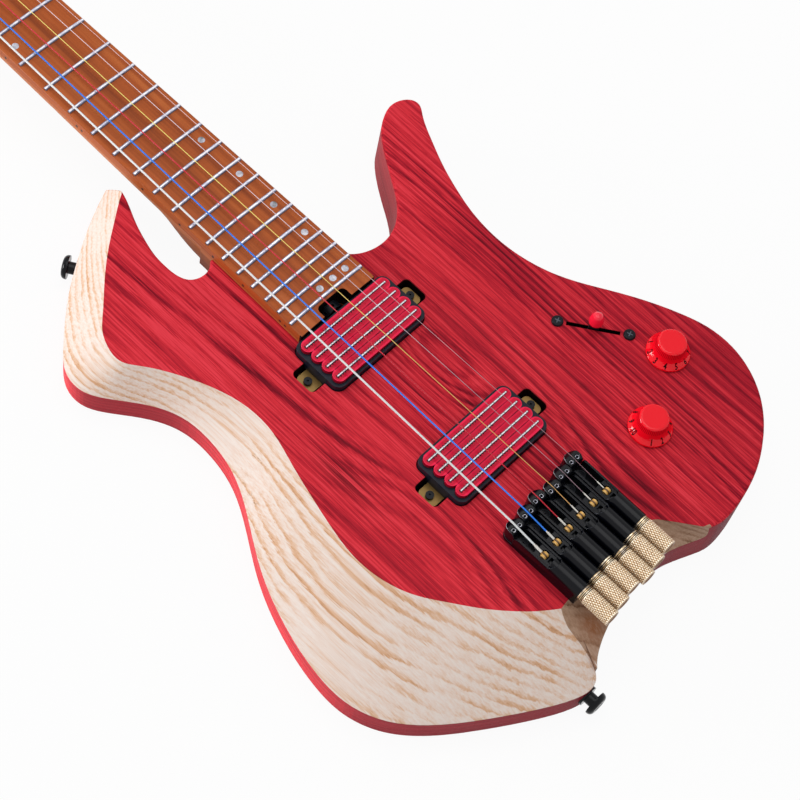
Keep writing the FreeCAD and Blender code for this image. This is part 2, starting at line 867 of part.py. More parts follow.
def make_clamp(index):
    """Pad that bears on a string under its screw."""
    low = nut_string_height(index) + string_gauges[index] / 2 + clamp_touch_gap
    return upright(clamp_radius, string_x_at_nut(index), clamp_y(), low, low + clamp_height)


def make_clamp_screw(index):
    x = string_x_at_nut(index)
    low = nut_string_height(index) + string_gauges[index] / 2 + clamp_touch_gap + clamp_height
    top = board_bottom + head_height + clamp_screw_rise
    screw = upright(clamp_screw_radius, x, clamp_y(), low, top)
    return screw.cut(hex_block(clamp_hex, x, clamp_y(), top - clamp_hex_depth, top + cut_over))


def wood_screw(x, y, seat, radius, length, head_radius, head_height):
    """Cone-headed screw that points down, with its head resting on the seat height."""
    head = Part.makeCone(radius, head_radius, head_height, Vec(x, y, seat), UP)
    shank = upright(radius, x, y, seat - length, seat + thread_gap)
    slot = hex_block(radius, x, y, seat + head_height / 2, seat + head_height + cut_over)
    return joined([head, shank]).cut(slot)


def make_truss_rod():
    start = board_end + notch_depth
    half = rod_width / 2
    bar = box(-half, half, start, start + rod_length, board_bottom - rod_depth, board_bottom)
    bore = rod(rod_stem_radius + rod_gap, Vec(0, start - cut_over, wheel_height()),
               Vec(0, start + 2 * wheel_length + rod_gap, wheel_height()))
    return bar.cut(bore)


def wheel_height():
    """Axis of the truss rod and of its wheel."""
    return board_bottom - rod_depth / 2


def make_truss_wheel():
    """Spoke wheel with a stem that turns in the rod's end."""
    end = board_end + notch_depth - wheel_gap
    start = end - wheel_length
    height = wheel_height()
    wheel = rod(wheel_radius, Vec(0, start, height), Vec(0, end, height))
    stem = rod(rod_stem_radius, Vec(0, end, height), Vec(0, end + wheel_gap + 2 * wheel_length, height))
    middle = Vec(0, (start + end) / 2, height)
    holes = []
    for step in range(wheel_hole_count):
        angle = 2 * math.pi * step / wheel_hole_count
        way = Vec(math.sin(angle), 0, math.cos(angle))
        inner = middle + way * (wheel_radius - wheel_hole_depth)
        holes.append(rod(wheel_hole_radius, inner, middle + way * (wheel_radius + cut_over)))
    return joined([wheel, stem]).cut(holes)


def make_ferrule(x, y):
    ring = upright(ferrule_radius, x, y, 0, ferrule_height)
    bore = upright(bolt_radius + bolt_gap, x, y, -cut_over, ferrule_height + cut_over)
    head = upright(bolt_head_radius + bolt_gap, x, y, -cut_over, bolt_head_inset + bolt_head_height)
    return ring.cut([bore, head])


def make_bolt(x, y):
    """Machine screw from the back into the heel."""
    seat = bolt_head_inset + bolt_head_height
    head = upright(bolt_head_radius, x, y, bolt_head_inset, seat)
    shank = upright(bolt_radius, x, y, bolt_head_inset, heel_bottom + bolt_bite - thread_gap)
    slot = hex_block(bolt_radius, x, y, 0, bolt_head_inset + bolt_head_height / 2)
    return joined([head, shank]).cut(slot)


def coil_places(y):
    return [y + (step - (coil_count - 1) / 2) * coil_pitch for step in range(coil_count)]


def make_case(y):
    """Black surround whose opening follows the ends of the coils."""
    half_length = case_length / 2
    half_width = case_width / 2
    case = rounded_block(-half_length, half_length, y - half_width, y + half_width,
                         plate_top, body_thickness + case_rise, case_corner_radius)
    width = coil_pitch + case_gap
    openings = [capsule(bobbin_length + 2 * case_gap, width, 0, place, plate_top - cut_over,
                        bobbin_top) for place in coil_places(y)]
    return case.cut(openings)


def make_bobbin(y):
    """Red coil former: a thick top, a thin foot and a hollow core for the blade."""
    width = coil_pitch - bobbin_gap
    top = capsule(bobbin_length, width, 0, y, bobbin_shelf, bobbin_top)
    foot = capsule(bobbin_length, width, 0, y, bobbin_foot, bobbin_foot + bobbin_bottom_thickness)
    core = capsule(bobbin_core_length, bobbin_core_width, 0, y, bobbin_foot, bobbin_shelf)
    half_length = blade_length / 2 + thread_gap
    half_width = blade_thickness / 2 + thread_gap
    slot = box(-half_length, half_length, y - half_width, y + half_width,
               bobbin_foot - cut_over, bobbin_top + cut_over)
    return joined([top, foot, core]).cut(slot)


def make_coil(y):
    """Winding around a bobbin's core."""
    width = coil_pitch - bobbin_gap - 2 * coil_side_gap
    low = bobbin_foot + bobbin_bottom_thickness + thread_gap
    high = bobbin_shelf - thread_gap
    outer = capsule(bobbin_length - 2 * coil_side_gap, width, 0, y, low, high)
    inner_width = bobbin_core_width + 2 * thread_gap
    inner_length = bobbin_core_length + 2 * thread_gap
    return outer.cut(capsule(inner_length, inner_width, 0, y, low - cut_over, high + cut_over))


def make_blade(y):
    low = plate_top + blade_foot_gap
    half = blade_length / 2
    thick = blade_thickness / 2
    blade = box(-half, half, y - thick, y + thick, low, bobbin_top + blade_rise)
    upright_edges = [e for e in blade.Edges if abs(e.tangentAt(e.FirstParameter).z) > 1 / 2]
    return blade.makeFillet(thick * 0.9, upright_edges)


def make_magnets(y):
    """Bar magnets between the feet of the blades."""
    places = coil_places(y)
    low = plate_top + blade_foot_gap
    magnets = []
    for first, second in zip(places, places[1:]):
        middle = (first + second) / 2
        magnets.append(box(-magnet_length / 2, magnet_length / 2, middle - magnet_width / 2,
                           middle + magnet_width / 2, low, low + magnet_height))
    return magnets


def make_baseplate(y):
    """Brass plate under a pickup, with a mounting tab at each end."""
    half_length = case_length / 2 - plate_inset
    half_width = case_width / 2 - plate_inset
    plate = rounded_block(-half_length, half_length, y - half_width, y + half_width,
                          plate_bottom, plate_top, case_corner_radius - plate_inset)
    tabs = rounded_block(-tab_reach, tab_reach, y - tab_width / 2, y + tab_width / 2,
                         plate_bottom, plate_top, tab_corner_radius)
    holes = [upright(leg_screw_radius + thread_gap, side * leg_screw_reach, y,
                     plate_bottom - cut_over, plate_top + cut_over) for side in (-1, 1)]
    return joined([plate, tabs]).cut(holes)


def make_leg_screw(x, y):
    """Pan-headed screw through a tab."""
    head = upright(leg_screw_head_radius, x, y, plate_top, plate_top + leg_screw_head_height)
    low = body_thickness - ear_depth - leg_screw_bite + thread_gap
    shank = upright(leg_screw_radius, x, y, low, plate_top + leg_screw_head_height / 2)
    top = plate_top + leg_screw_head_height
    slot = hex_block(leg_screw_radius, x, y, top - leg_screw_head_height / 2, top + cut_over)
    return joined([head, shank]).cut(slot)


def make_housing(index):
    """Body of one bridge unit: a channel in front, a round barrel behind."""
    half = unit_width / 2
    start = -saddle_length - saddle_gap
    block = box(-half, half, -unit_length, start, 0, barrel_axis_height)
    barrel = rod(half, Vec(0, -unit_length, barrel_axis_height), Vec(0, start, barrel_axis_height))
    base = box(-half, half, -unit_length, -half, 0, unit_base)
    toe = upright(half, 0, -half, 0, unit_base)
    housing = joined([block, barrel, base, toe])
    channel = half - unit_wall
    sky = barrel_axis_height + half + cut_over
    cuts = [box(-channel, channel, -channel_rear, cut_over, unit_base, unit_wall_height)]
    cuts.append(rod(carriage_bore_radius, Vec(0, barrel_rear_wall - unit_length, barrel_axis_height),
                    Vec(0, half - barrel_opening, barrel_axis_height)))
    cuts.append(box(-half - cut_over, half + cut_over, -barrel_opening, cut_over, unit_wall_height, sky))
    cuts.append(upright(half, 0, -barrel_opening, unit_wall_height, sky))
    cuts.append(rod(tuner_screw_radius + tuner_screw_gap, Vec(0, -unit_length - cut_over, barrel_axis_height),
                    Vec(0, -unit_length + barrel_rear_wall + cut_over, barrel_axis_height)))
    for back in mount_screw_places:
        cuts.append(upright(mount_screw_radius + thread_gap, 0, -back, -cut_over, unit_base))
        seat = unit_base - mount_screw_head_height
        cuts.append(Part.makeCone(mount_screw_radius + thread_gap, mount_screw_head_radius + thread_gap,
                                  mount_screw_head_height + thread_gap, Vec(0, -back, seat), UP))
    housing = housing.cut(cuts)
    corners = [e for e in housing.Edges if is_wall_corner(e, start)]
    housing = housing.makeFillet(unit_wall_round, corners)
    return housing.translated(bridge_place(index))


def is_wall_corner(edge, start):
    """True for the short edges at the front top of a unit's two side walls."""
    middle = edge.CenterOfMass
    at_front = abs(middle.y - start) < groove_gap
    return at_front and abs(middle.z - unit_wall_height) < groove_gap and edge.Length < 2 * unit_wall


def string_way(index):
    """Corner points of a string's centre line, from its ball end to the headpiece."""
    place = bridge_place(index)
    x_nut = string_x_at_nut(index)
    nut_height = nut_string_height(index)
    crest_height = saddle_crest_height - saddle_notch_depth + string_gauges[index] / 2
    start = place + Vec(0, -ball_back(index), ball_height + string_lift)
    crest = place + Vec(0, -saddle_crest_back, crest_height)
    return [start, crest, Vec(x_nut, scale_length, nut_height), Vec(x_nut, neck_end, nut_height)]


def string_notch(index):
    """Straight-sided notch under a string, open above."""
    radius = string_gauges[index] / 2 + groove_gap
    start, crest, front = string_way(index)[:3]
    x = crest.x - radius - groove_gap
    rise = UP * unit_width
    corners = [start - UP * radius, crest - UP * radius, front - UP * radius, front + rise, start + rise]
    corners = [Vec(x, corner.y, corner.z) for corner in corners]
    side = Part.Face(Part.makePolygon(corners + corners[:1]))
    return side.extrude(ALONG_X * (2 * (radius + groove_gap)))


def make_saddle(index):
    """Rounded nose that carries the string, on two height screws."""
    half = unit_width / 2 - saddle_side_gap
    low = unit_base + saddle_clear
    high = saddle_crest_height
    plan = box(-half, half, -saddle_length, -half, low, high).fuse(upright(half, 0, -half, low, high))
    rear = Vec(0, -saddle_length, saddle_rear_height)
    crest = Vec(0, -saddle_crest_back, saddle_crest_height)
    front = Vec(0, cut_over, saddle_front_height)
    brow_height = (saddle_crest_height + 2 * saddle_front_height) / 3 + saddle_clear
    brow = Vec(0, -saddle_crest_back / 4, brow_height)
    top = Part.BSplineCurve()
    top.interpolate(Points=[rear, crest, brow, front])
    foot = [Vec(0, cut_over, low), Vec(0, -saddle_length, low)]
    lines = [Part.makeLine(front, foot[0]), Part.makeLine(foot[0], foot[1]), Part.makeLine(foot[1], rear)]
    side = Part.Face(Part.Wire([top.toShape()] + lines))
    profile = side.extrude(ALONG_X * (2 * unit_width)).translated(ALONG_X * -unit_width)
    saddle = plan.common(profile)
    cuts = []
    for side in (-1, 1):
        cuts.append(upright(height_screw_radius + thread_gap, side * height_screw_spread,
                            -height_screw_back, low - cut_over, high + cut_over))
    saddle = saddle.cut(cuts).translated(bridge_place(index))
    return saddle.cut(string_notch(index))


def make_height_screws(index):
    screws = []
    for side in (-1, 1):
        x = side * height_screw_spread
        screw = upright(height_screw_radius, x, -height_screw_back, unit_base, height_screw_top)
        socket = hex_block(height_screw_hex, x, -height_screw_back,
                           height_screw_top - height_screw_hex_depth, height_screw_top + cut_over)
        screws.append(screw.cut(socket).translated(bridge_place(index)))
    return screws


def ball_back(index):
    """Distance of a ball end behind its unit's front."""
    return ball_back_shares[index] * unit_length


def make_carriage(index):
    """Sliding block with a seat for the ball end and a threaded rod end behind it."""
    back = ball_back(index)
    half = unit_width / 2 - unit_wall - carriage_gap
    low = unit_base + carriage_gap
    block = box(-half, half, -back - carriage_block, -back + carriage_front, low, carriage_height)
    radius = carriage_bore_radius - carriage_rod_gap
    rear = Vec(0, -back - carriage_rear, barrel_axis_height)
    stem = rod(radius, rear, Vec(0, -back - carriage_block, barrel_axis_height))
    floor = ball_height - ball_radius - ball_pocket_gap
    sky = carriage_height + cut_over
    cuts = [upright(ball_pocket_radius, 0, -back, floor, sky)]
    cuts.append(box(-string_slot_width / 2, string_slot_width / 2, -back, -back + carriage_front + cut_over,
                    string_slot_height, sky))
    cuts.append(rod(tuner_screw_radius + tuner_screw_gap, rear - ALONG_Y * cut_over,
                    rear + ALONG_Y * carriage_thread_depth))
    carriage = joined([block, stem]).cut(cuts)
    return carriage.translated(bridge_place(index))


def make_tuner_knob(index):
    """Round knob with a ringed collar and the screw that draws the carriage."""
    start = -unit_length - tuner_gap
    middle = start - tuner_collar_length
    end = middle - tuner_knob_length
    axis = barrel_axis_height
    collar = rod(tuner_collar_radius, Vec(0, start, axis), Vec(0, middle, axis))
    grip_radius = unit_width / 2
    grip = rod(grip_radius, Vec(0, middle, axis), Vec(0, end, axis))
    rims = [e for e in grip.Edges if abs(e.Length - 2 * math.pi * grip_radius) < groove_gap]
    grip = grip.makeChamfer(tuner_chamfer, rims)
    screw = rod(tuner_screw_radius, Vec(0, -tuner_screw_front, axis), Vec(0, middle, axis))
    knob = joined([collar, grip, screw])
    grooves = []
    for step in (1, 2):
        y = start - tuner_collar_length * step / 3
        outer = rod(tuner_collar_radius + cut_over, Vec(0, y - tuner_ring_width / 2, axis),
                    Vec(0, y + tuner_ring_width / 2, axis))
        inner = rod(tuner_collar_radius - tuner_ring_depth, Vec(0, y - tuner_ring_width, axis),
                    Vec(0, y + tuner_ring_width, axis))
        grooves.append(outer.cut(inner))
    return knob.cut(grooves).translated(bridge_place(index))


def make_string(index):
    """String with its ball end, over the saddle and the nut to the headpiece."""
    radius = string_gauges[index] / 2
    points = string_way(index)
    start = points[0]
    middle = start - UP * string_lift
    half = ALONG_X * (ball_width / 2)
    ball = rod(ball_radius, middle - half, middle + half)
    way = (points[1] - start).normalize()
    circle = Part.Wire(Part.makeCircle(radius, start, way))
    wire = Part.makePolygon(points).makePipeShell([circle], True, False, 1)
    wrap = rod(radius + string_wrap, start, start + way * string_wrap_length)
    return joined([ball, wrap, wire])


def make_pot(place):
    """Potentiometer under the top, with its bushing through the wood."""
    low = control_top - pot_height
    can = upright(pot_radius, place.x, place.y, low, control_top)
    bushing = upright(bushing_radius, place.x, place.y, low, body_thickness + bushing_rise)
    bore_top = body_thickness + knob_height
    bore = upright(shaft_radius + shaft_gap, place.x, place.y, low + pot_floor, bore_top)
    return joined([can, bushing]).cut(bore)


def make_shaft(place):
    low = control_top - pot_height + pot_floor
    return upright(shaft_radius, place.x, place.y, low, body_thickness + shaft_rise)


def make_panel_nut(place):
    low = body_thickness
    nut = hex_block(panel_nut_width, place.x, place.y, low, low + panel_nut_height)
    hole = upright(bushing_radius + thread_gap, place.x, place.y, low - cut_over, low + knob_height)
    return nut.cut(hole)


def make_knob(place):
    """Skirted control knob, hollow below to clear the nut."""
    low = body_thickness + knob_lift
    top = low + knob_height
    roof = top - knob_crown_round
    middle = (knob_skirt_height + knob_crown_foot_height) / 2 - knob_crown_round
    waist = (knob_skirt_radius + knob_crown_foot_radius) / 2 - knob_crown_round
    profile = [
        (0, low + knob_hollow_height),
        (knob_hollow_radius, low + knob_hollow_height),
        (knob_hollow_radius, low),
        (knob_skirt_radius, low),
        (knob_skirt_radius, low + knob_skirt_height),
        (waist, low + middle + knob_skirt_height / 2),
        (knob_crown_foot_radius, low + knob_crown_foot_height),
        (knob_crown_radius, roof),
        (knob_crown_radius - knob_crown_round, top),
        (0, top),
    ]
    knob = turned(profile, place.x, place.y)
    bore = upright(shaft_radius, place.x, place.y, low, body_thickness + shaft_rise)
    return knob.cut(bore)


def selector_point(along, across, height):
    return selector_place + selector_way * along + selector_across * across + UP * height


def selector_pivot_height():
    return body_thickness - selector_pivot_drop


def make_selector_frame():
    """Plate under the top with two cheeks that hold the lever's pin."""
    plate_low = control_top - selector_plate_thickness
    plate = selector_box(selector_plate_length, selector_plate_width, plate_low, control_top)
    slot_low = plate_low - cut_over
    slot_high = control_top + cut_over
    slot = selector_box(selector_slot_length, selector_slot_width, slot_low, slot_high)
    plate = plate.cut(slot)
    for place in selector_screws:
        plate = plate.cut(upright(selector_screw_radius + thread_gap, place.x, place.y, 0, body_thickness))
    pivot = selector_pivot_height()
    low = pivot - lever_eye_radius
    cheek_gap = lever_thickness + 2 * lever_side_gap
    outer = cheek_gap + 2 * selector_plate_thickness
    cheeks = selector_box(selector_cheek_length, outer, low, plate_low + thread_gap)
    hollow = selector_box(selector_cheek_length + cut_over, cheek_gap, low - cut_over, plate_low)
    cheeks = cheeks.cut(hollow)
    opening = selector_box(selector_slot_length, selector_slot_width, plate_low - thread_gap, control_top)
    pin_half = outer / 2
    pin = rod(selector_pin_radius, selector_point(0, -pin_half, pivot), selector_point(0, pin_half, pivot))
    return joined([plate, cheeks, pin]).cut(opening)


def make_lever():
    """Flat lever with an eye on the pin and a narrow neck for the tip."""
    pivot = selector_pivot_height()
    half = lever_thickness / 2
    eye = rod(lever_eye_radius - lever_side_gap, selector_point(0, -half, pivot),
              selector_point(0, half, pivot))
    shoulder = body_thickness + tip_base
    blade = selector_box(lever_width, lever_thickness, pivot, shoulder - lever_side_gap)
    neck = selector_box(lever_neck_width, lever_thickness, pivot, body_thickness + lever_reach)
    hole = rod(selector_pin_radius + selector_pin_gap, selector_point(0, -half - cut_over, pivot),
               selector_point(0, half + cut_over, pivot))
    return joined([eye, blade, neck]).cut(hole)


def make_tip():
    """Rounded tip pushed onto the lever."""
    low = body_thickness + tip_base
    top = low + tip_height
    profile = [
        (0, low),
        (tip_radius * 0.8, low),
        (tip_radius, low + tip_height * 0.14),
        (tip_radius, low + tip_height * 0.36),
        (tip_radius * 0.9, low + tip_height * 0.6),
        (tip_top_radius * 1.2, low + tip_height * 0.84),
        (tip_top_radius * 0.7, low + tip_height * 0.96),
        (0, top),
    ]
    tip = turned(profile, selector_place.x, selector_place.y)
    socket = selector_box(lever_neck_width + tip_gap, lever_thickness + tip_gap, low - cut_over,
                          body_thickness + lever_reach + tip_gap)
    return tip.cut(socket)


def make_selector_screw(place):
    low = control_top - selector_plate_thickness
    top = body_thickness + selector_screw_head_height
    head = upright(selector_screw_head_radius, place.x, place.y, body_thickness, top)
    rims = [e for e in head.Edges if e.CenterOfMass.z > top - selector_screw_gap and not e.isNull()]
    ring = [e for e in rims if e.Length > 2 * selector_screw_head_radius]
    head = head.makeFillet(selector_screw_head_height * 0.6, ring)
    shank = upright(selector_screw_radius, place.x, place.y, low, body_thickness + thread_gap)
    slot = hex_block(selector_screw_radius, place.x, place.y, body_thickness + thread_gap, top + cut_over)
    return joined([head, shank]).cut(slot)


def make_jack():
    """Barrel jack: a flange outside and a long sleeve that takes the plug."""
    seat = jack_seat - jack_out * jack_recess_depth
    face = seat + jack_out * jack_flange_height
    flange = rod(jack_flange_radius, seat, face)
    barrel = rod(jack_barrel_radius, seat - jack_out * (jack_barrel_length - jack_flange_height), face)
    bore = rod(jack_bore_radius, face - jack_out * jack_bore_length, face + jack_out * cut_over)
    return joined([flange, barrel]).cut(bore)


def make_cover():
    plate = control_outline(cavity_margin + cover_lip - cover_gap, 0, cover_thickness)
    holes = []
    for point in cover_screw_points():
        holes.append(upright(cover_screw_radius + thread_gap, point.x, point.y, -cut_over,
                             cover_thickness + cut_over))
        holes.append(Part.makeCone(cover_screw_head_radius + thread_gap, cover_screw_radius + thread_gap,
                                   cover_screw_head_height, Vec(point.x, point.y, 0), UP))
    return plate.cut(holes)


def make_cover_screw(point):
    """Countersunk screw that points up into the body."""
    head = Part.makeCone(cover_screw_head_radius, cover_screw_radius, cover_screw_head_height,
                         Vec(point.x, point.y, 0), UP)
    reach = cover_thickness + cover_screw_length - thread_gap
    shank = upright(cover_screw_radius, point.x, point.y, cover_screw_head_height - thread_gap, reach)
    slot = hex_block(cover_screw_radius, point.x, point.y, -cut_over, cover_screw_head_height / 2)
    return joined([head, shank]).cut(slot)


def make_button(seat, out):
    """Mushroom strap button with its foot let into the wood."""
    floor = seat - out * button_seat_depth
    foot = rod(button_flange_radius, floor, floor + out * button_flange_height)
    neck_end_point = floor + out * (button_flange_height + button_neck_height)
    neck = rod(button_neck_radius, floor, neck_end_point)
    disc = rod(button_head_radius, neck_end_point, neck_end_point + out * button_head_height)
    rims = [e for e in disc.Edges if e.Length > 4 * button_head_radius]
    outer_rims = [e for e in rims if (e.CenterOfMass - neck_end_point).Length > button_head_height / 2]
    disc = disc.makeFillet(button_head_height * 0.8, outer_rims)
    top = neck_end_point + out * button_head_height
    hole = rod(button_screw_radius + thread_gap, floor - out * cut_over, top)
    sink_low = top - out * button_screw_head_height
    sink = rod(button_screw_head_radius + thread_gap, sink_low, top + out * cut_over)
    return joined([foot, neck, disc]).cut([hole, sink])


def make_button_screw(seat, out):
    floor = seat - out * button_seat_depth
    top = floor + out * (button_flange_height + button_neck_height + button_head_height)
    head = rod(button_screw_head_radius, top - out * button_screw_head_height, top)
    rims = [e for e in head.Edges if e.Length > 4 * button_screw_head_radius]
    outer_rims = [e for e in rims if (e.CenterOfMass - top).Length < groove_gap]
    head = head.makeFillet(button_screw_head_height / 2, outer_rims)
    shank_top = top - out * (button_screw_head_height / 2)
    shank = rod(button_screw_radius, floor - out * button_screw_bite, shank_top)
    return joined([head, shank])


def build():
    """Makes and saves every piece."""
    strings = range(string_count)
    pickups = (neck_pickup_place, bridge_pickup_place)
    all_coils = coil_places(neck_pickup_place) + coil_places(bridge_pickup_place)
    save("body", make_body())
    save("neck", make_neck())
    save("fretboard", make_fretboard())
    save_group("frets", [make_fret(number) for number in range(1, fret_count + 1)])
    save("nut", make_nut())
    save("headpiece", make_headpiece())
    save_group("string_clamps", [make_clamp(index) for index in strings])
    save_group("clamp_screws", [make_clamp_screw(index) for index in strings])
    dots = [upright(dot_radius, x, y, board_height(x) - dot_depth, board_top) for x, y in dot_points()]
    save_group("fret_dots", [dot.common(crown(0)) for dot in dots])
    save_group("side_dots", [side_dot_bar(y, 0) for y in side_dot_places()])
    save("truss_rod", make_truss_rod())
    save("truss_wheel", make_truss_wheel())
    save_group("neck_bolts", [make_bolt(x, y) for x, y in bolt_points()])
    save_group("neck_ferrules", [make_ferrule(x, y) for x, y in bolt_points()])
    save("neck_pickup_case", make_case(neck_pickup_place))
    save("bridge_pickup_case", make_case(bridge_pickup_place))
    save_group("neck_pickup_bobbins", [make_bobbin(y) for y in coil_places(neck_pickup_place)])
    save_group("bridge_pickup_bobbins", [make_bobbin(y) for y in coil_places(bridge_pickup_place)])
    save_group("pickup_blades", [make_blade(y) for y in all_coils])
    save_group("pickup_coils", [make_coil(y) for y in all_coils])
    save_group("pickup_magnets", make_magnets(pickups[0]) + make_magnets(pickups[1]))
    save_group("pickup_baseplates", [make_baseplate(y) for y in pickups])
    leg_places = [(side * leg_screw_reach, y) for y in pickups for side in (-1, 1)]
    save_group("pickup_screws", [make_leg_screw(x, y) for x, y in leg_places])
    save_group("bridge_housings", [make_housing(index) for index in strings])
    save_group("saddles", [make_saddle(index) for index in strings])
    save_group("saddle_screws", [screw for index in strings for screw in make_height_screws(index)])
    seat = body_thickness + unit_base - mount_screw_head_height
    sizes = (mount_screw_radius, mount_screw_length - thread_gap, mount_screw_head_radius,
             mount_screw_head_height)
    screws = [wood_screw(x, y, seat, *sizes) for x, y in mount_screw_points()]
    head_seat = board_bottom + head_height / 2
    screws += [wood_screw(x, y, head_seat, *sizes) for x, y in head_screw_points()]
    save_group("mounting_screws", screws)
    for index in strings:
        number = string_count - index
        save("carriage_%d" % number, make_carriage(index))
        save("tuner_knob_%d" % number, make_tuner_knob(index))
        save("string_%d" % number, make_string(index))
    save_group("potentiometers", [make_pot(place) for place in (volume_place, tone_place)])
    save_group("panel_nuts", [make_panel_nut(place) for place in (volume_place, tone_place)])
    for name, place in (("volume", volume_place), ("tone", tone_place)):
        save(name + "_knob", make_knob(place))
        save(name + "_shaft", make_shaft(place))
    save("selector_frame", make_selector_frame())
    save("selector_lever", make_lever())
    save("selector_tip", make_tip())
    save_group("selector_screws", [make_selector_screw(place) for place in selector_screws])
    save("output_jack", make_jack())
    save("control_cover", make_cover())
    save_group("cover_screws", [make_cover_screw(point) for point in cover_screw_points()])
    save_group("strap_buttons", [make_button(seat, out) for seat, out in button_seats])
    save_group("strap_screws", [make_button_screw(seat, out) for seat, out in button_seats])


build()
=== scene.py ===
"""Looks of a headless electric guitar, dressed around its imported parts."""
import math

import bmesh
import bpy
from mathutils import Matrix, Vector


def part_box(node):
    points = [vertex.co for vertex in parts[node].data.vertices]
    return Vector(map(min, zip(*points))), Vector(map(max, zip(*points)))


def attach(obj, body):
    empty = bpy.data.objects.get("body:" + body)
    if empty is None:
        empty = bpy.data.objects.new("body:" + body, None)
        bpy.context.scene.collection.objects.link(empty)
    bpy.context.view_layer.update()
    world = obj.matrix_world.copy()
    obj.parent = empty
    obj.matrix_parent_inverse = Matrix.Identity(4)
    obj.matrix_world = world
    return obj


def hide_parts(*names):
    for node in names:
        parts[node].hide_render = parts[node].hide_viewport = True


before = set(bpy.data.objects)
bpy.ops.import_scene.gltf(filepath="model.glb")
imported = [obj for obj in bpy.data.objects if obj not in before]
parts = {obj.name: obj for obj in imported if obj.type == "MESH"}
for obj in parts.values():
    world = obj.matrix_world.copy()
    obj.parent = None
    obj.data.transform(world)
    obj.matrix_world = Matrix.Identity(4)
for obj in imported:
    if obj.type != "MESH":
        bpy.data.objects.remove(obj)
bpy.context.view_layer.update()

MM = 0.001
FULL_TURN = 2 * math.pi

# Camera, in the part's frame: its place in millimetres and the ways its picture runs
camera_place = Vector((-526.3, -215.8, 1155.9)) * MM
camera_right = Vector((0.6911341275, -0.7123546184, 0.1220021125))
camera_down = Vector((-0.5985350667, -0.6587722096, -0.4558233756))
camera_forward = Vector((0.4050794880, 0.2420125484, -0.8816691754))
picture_width = 800
focal_pixels = 2331.4
sensor_width = 36.0


def add_camera():
    data = bpy.data.cameras.new("camera")
    data.sensor_width = sensor_width
    data.lens = sensor_width * focal_pixels / picture_width
    camera = bpy.data.objects.new("camera", data)
    columns = Matrix((camera_right, -camera_down, -camera_forward)).transposed()
    camera.matrix_world = Matrix.Translation(camera_place) @ columns.to_4x4()
    bpy.context.scene.collection.objects.link(camera)
    bpy.context.scene.camera = camera


def tone(red, green, blue):
    """Linear colour from sRGB values of 0 to 255."""
    out = []
    for value in (red, green, blue):
        share = value / 255
        out.append(share / 12.92 if share <= 0.04045 else ((share + 0.055) / 1.055) ** 2.4)
    return (*out, 1.0)


class Paint:
    """One procedural material and the few calls that wire it."""

    def __init__(self, name, color=(0.5, 0.5, 0.5, 1), rough=0.5, metal=0.0, coat=0.0,
                 specular=0.5):
        self.material = bpy.data.materials.new(name)
        self.material.use_nodes = True
        self.tree = self.material.node_tree
        self.shader = self.tree.nodes["Principled BSDF"]
        self.output = self.tree.nodes["Material Output"]
        self.shader.inputs["Base Color"].default_value = color
        self.shader.inputs["Roughness"].default_value = rough
        self.shader.inputs["Metallic"].default_value = metal
        self.shader.inputs["Coat Weight"].default_value = coat
        self.shader.inputs["Specular IOR Level"].default_value = specular

    def put(self, socket, value):
        if isinstance(value, bpy.types.NodeSocket):
            self.tree.links.new(value, socket)
        else:
            socket.default_value = value

    def add(self, kind, inputs=None, out=0, **settings):
        node = self.tree.nodes.new("ShaderNode" + kind)
        for name, value in settings.items():
            setattr(node, name, value)
        for name, value in (inputs or {}).items():
            self.put(node.inputs[name], value)
        return node.outputs[out]

    def calc(self, operation, *values):
        node = self.tree.nodes.new("ShaderNodeMath")
        node.operation = operation
        for socket, value in zip(node.inputs, values):
            self.put(socket, value)
        return node.outputs[0]

    def place(self, scale=(1, 1, 1)):
        coords = self.add("TexCoord", out="Object")
        return self.add("Mapping", {"Vector": coords, "Scale": scale})

    def axes(self, vector):
        node = self.tree.nodes.new("ShaderNodeSeparateXYZ")
        self.put(node.inputs[0], vector)
        return node.outputs

    def noise(self, scale, detail=3.0, rough=0.5):
        inputs = {"Vector": self.place(scale), "Scale": 1.0, "Detail": detail, "Roughness": rough}
        return self.add("TexNoise", inputs)

    def span(self, value, low, high, start=0.0, end=1.0):
        """The value carried from one range to another, held at its ends."""
        limits = {"From Min": low, "From Max": high, "To Min": start, "To Max": end}
        return self.add("MapRange", {"Value": value, **limits})

    def ramp(self, value, *stops):
        node = self.tree.nodes.new("ShaderNodeValToRGB")
        points = node.color_ramp.elements
        while len(points) < len(stops):
            points.new(0.5)
        for point, (place, color) in zip(points, stops):
            point.position = place
            point.color = color
        self.put(node.inputs[0], value)
        return node.outputs[0]

    def mix(self, share, first, second, kind="MIX"):
        node = self.tree.nodes.new("ShaderNodeMix")
        node.data_type = "RGBA"
        node.blend_type = kind
        self.put(node.inputs[0], share)
        self.put(node.inputs[6], first)
        self.put(node.inputs[7], second)
        return node.outputs[2]

    def color(self, value):
        self.put(self.shader.inputs["Base Color"], value)

    def rough(self, value):
        self.put(self.shader.inputs["Roughness"], value)

    def edges(self, radius, low=0.02, high=0.3):
        """1 along sharp edges, 0 on open faces."""
        node = self.tree.nodes.new("ShaderNodeVectorMath")
        node.operation = "DOT_PRODUCT"
        self.put(node.inputs[0], self.add("Bevel", {"Radius": radius}, samples=6))
        self.put(node.inputs[1], self.add("NewGeometry", out="Normal"))
        return self.span(self.calc("SUBTRACT", 1.0, node.outputs["Value"]), low, high)

    def bump(self, height, distance, strength=1.0, edge=0.0):
        inputs = {"Height": height, "Distance": distance, "Strength": strength}
        if edge:
            inputs["Normal"] = self.add("Bevel", {"Radius": edge}, samples=4)
        self.put(self.shader.inputs["Normal"], self.add("Bump", inputs))


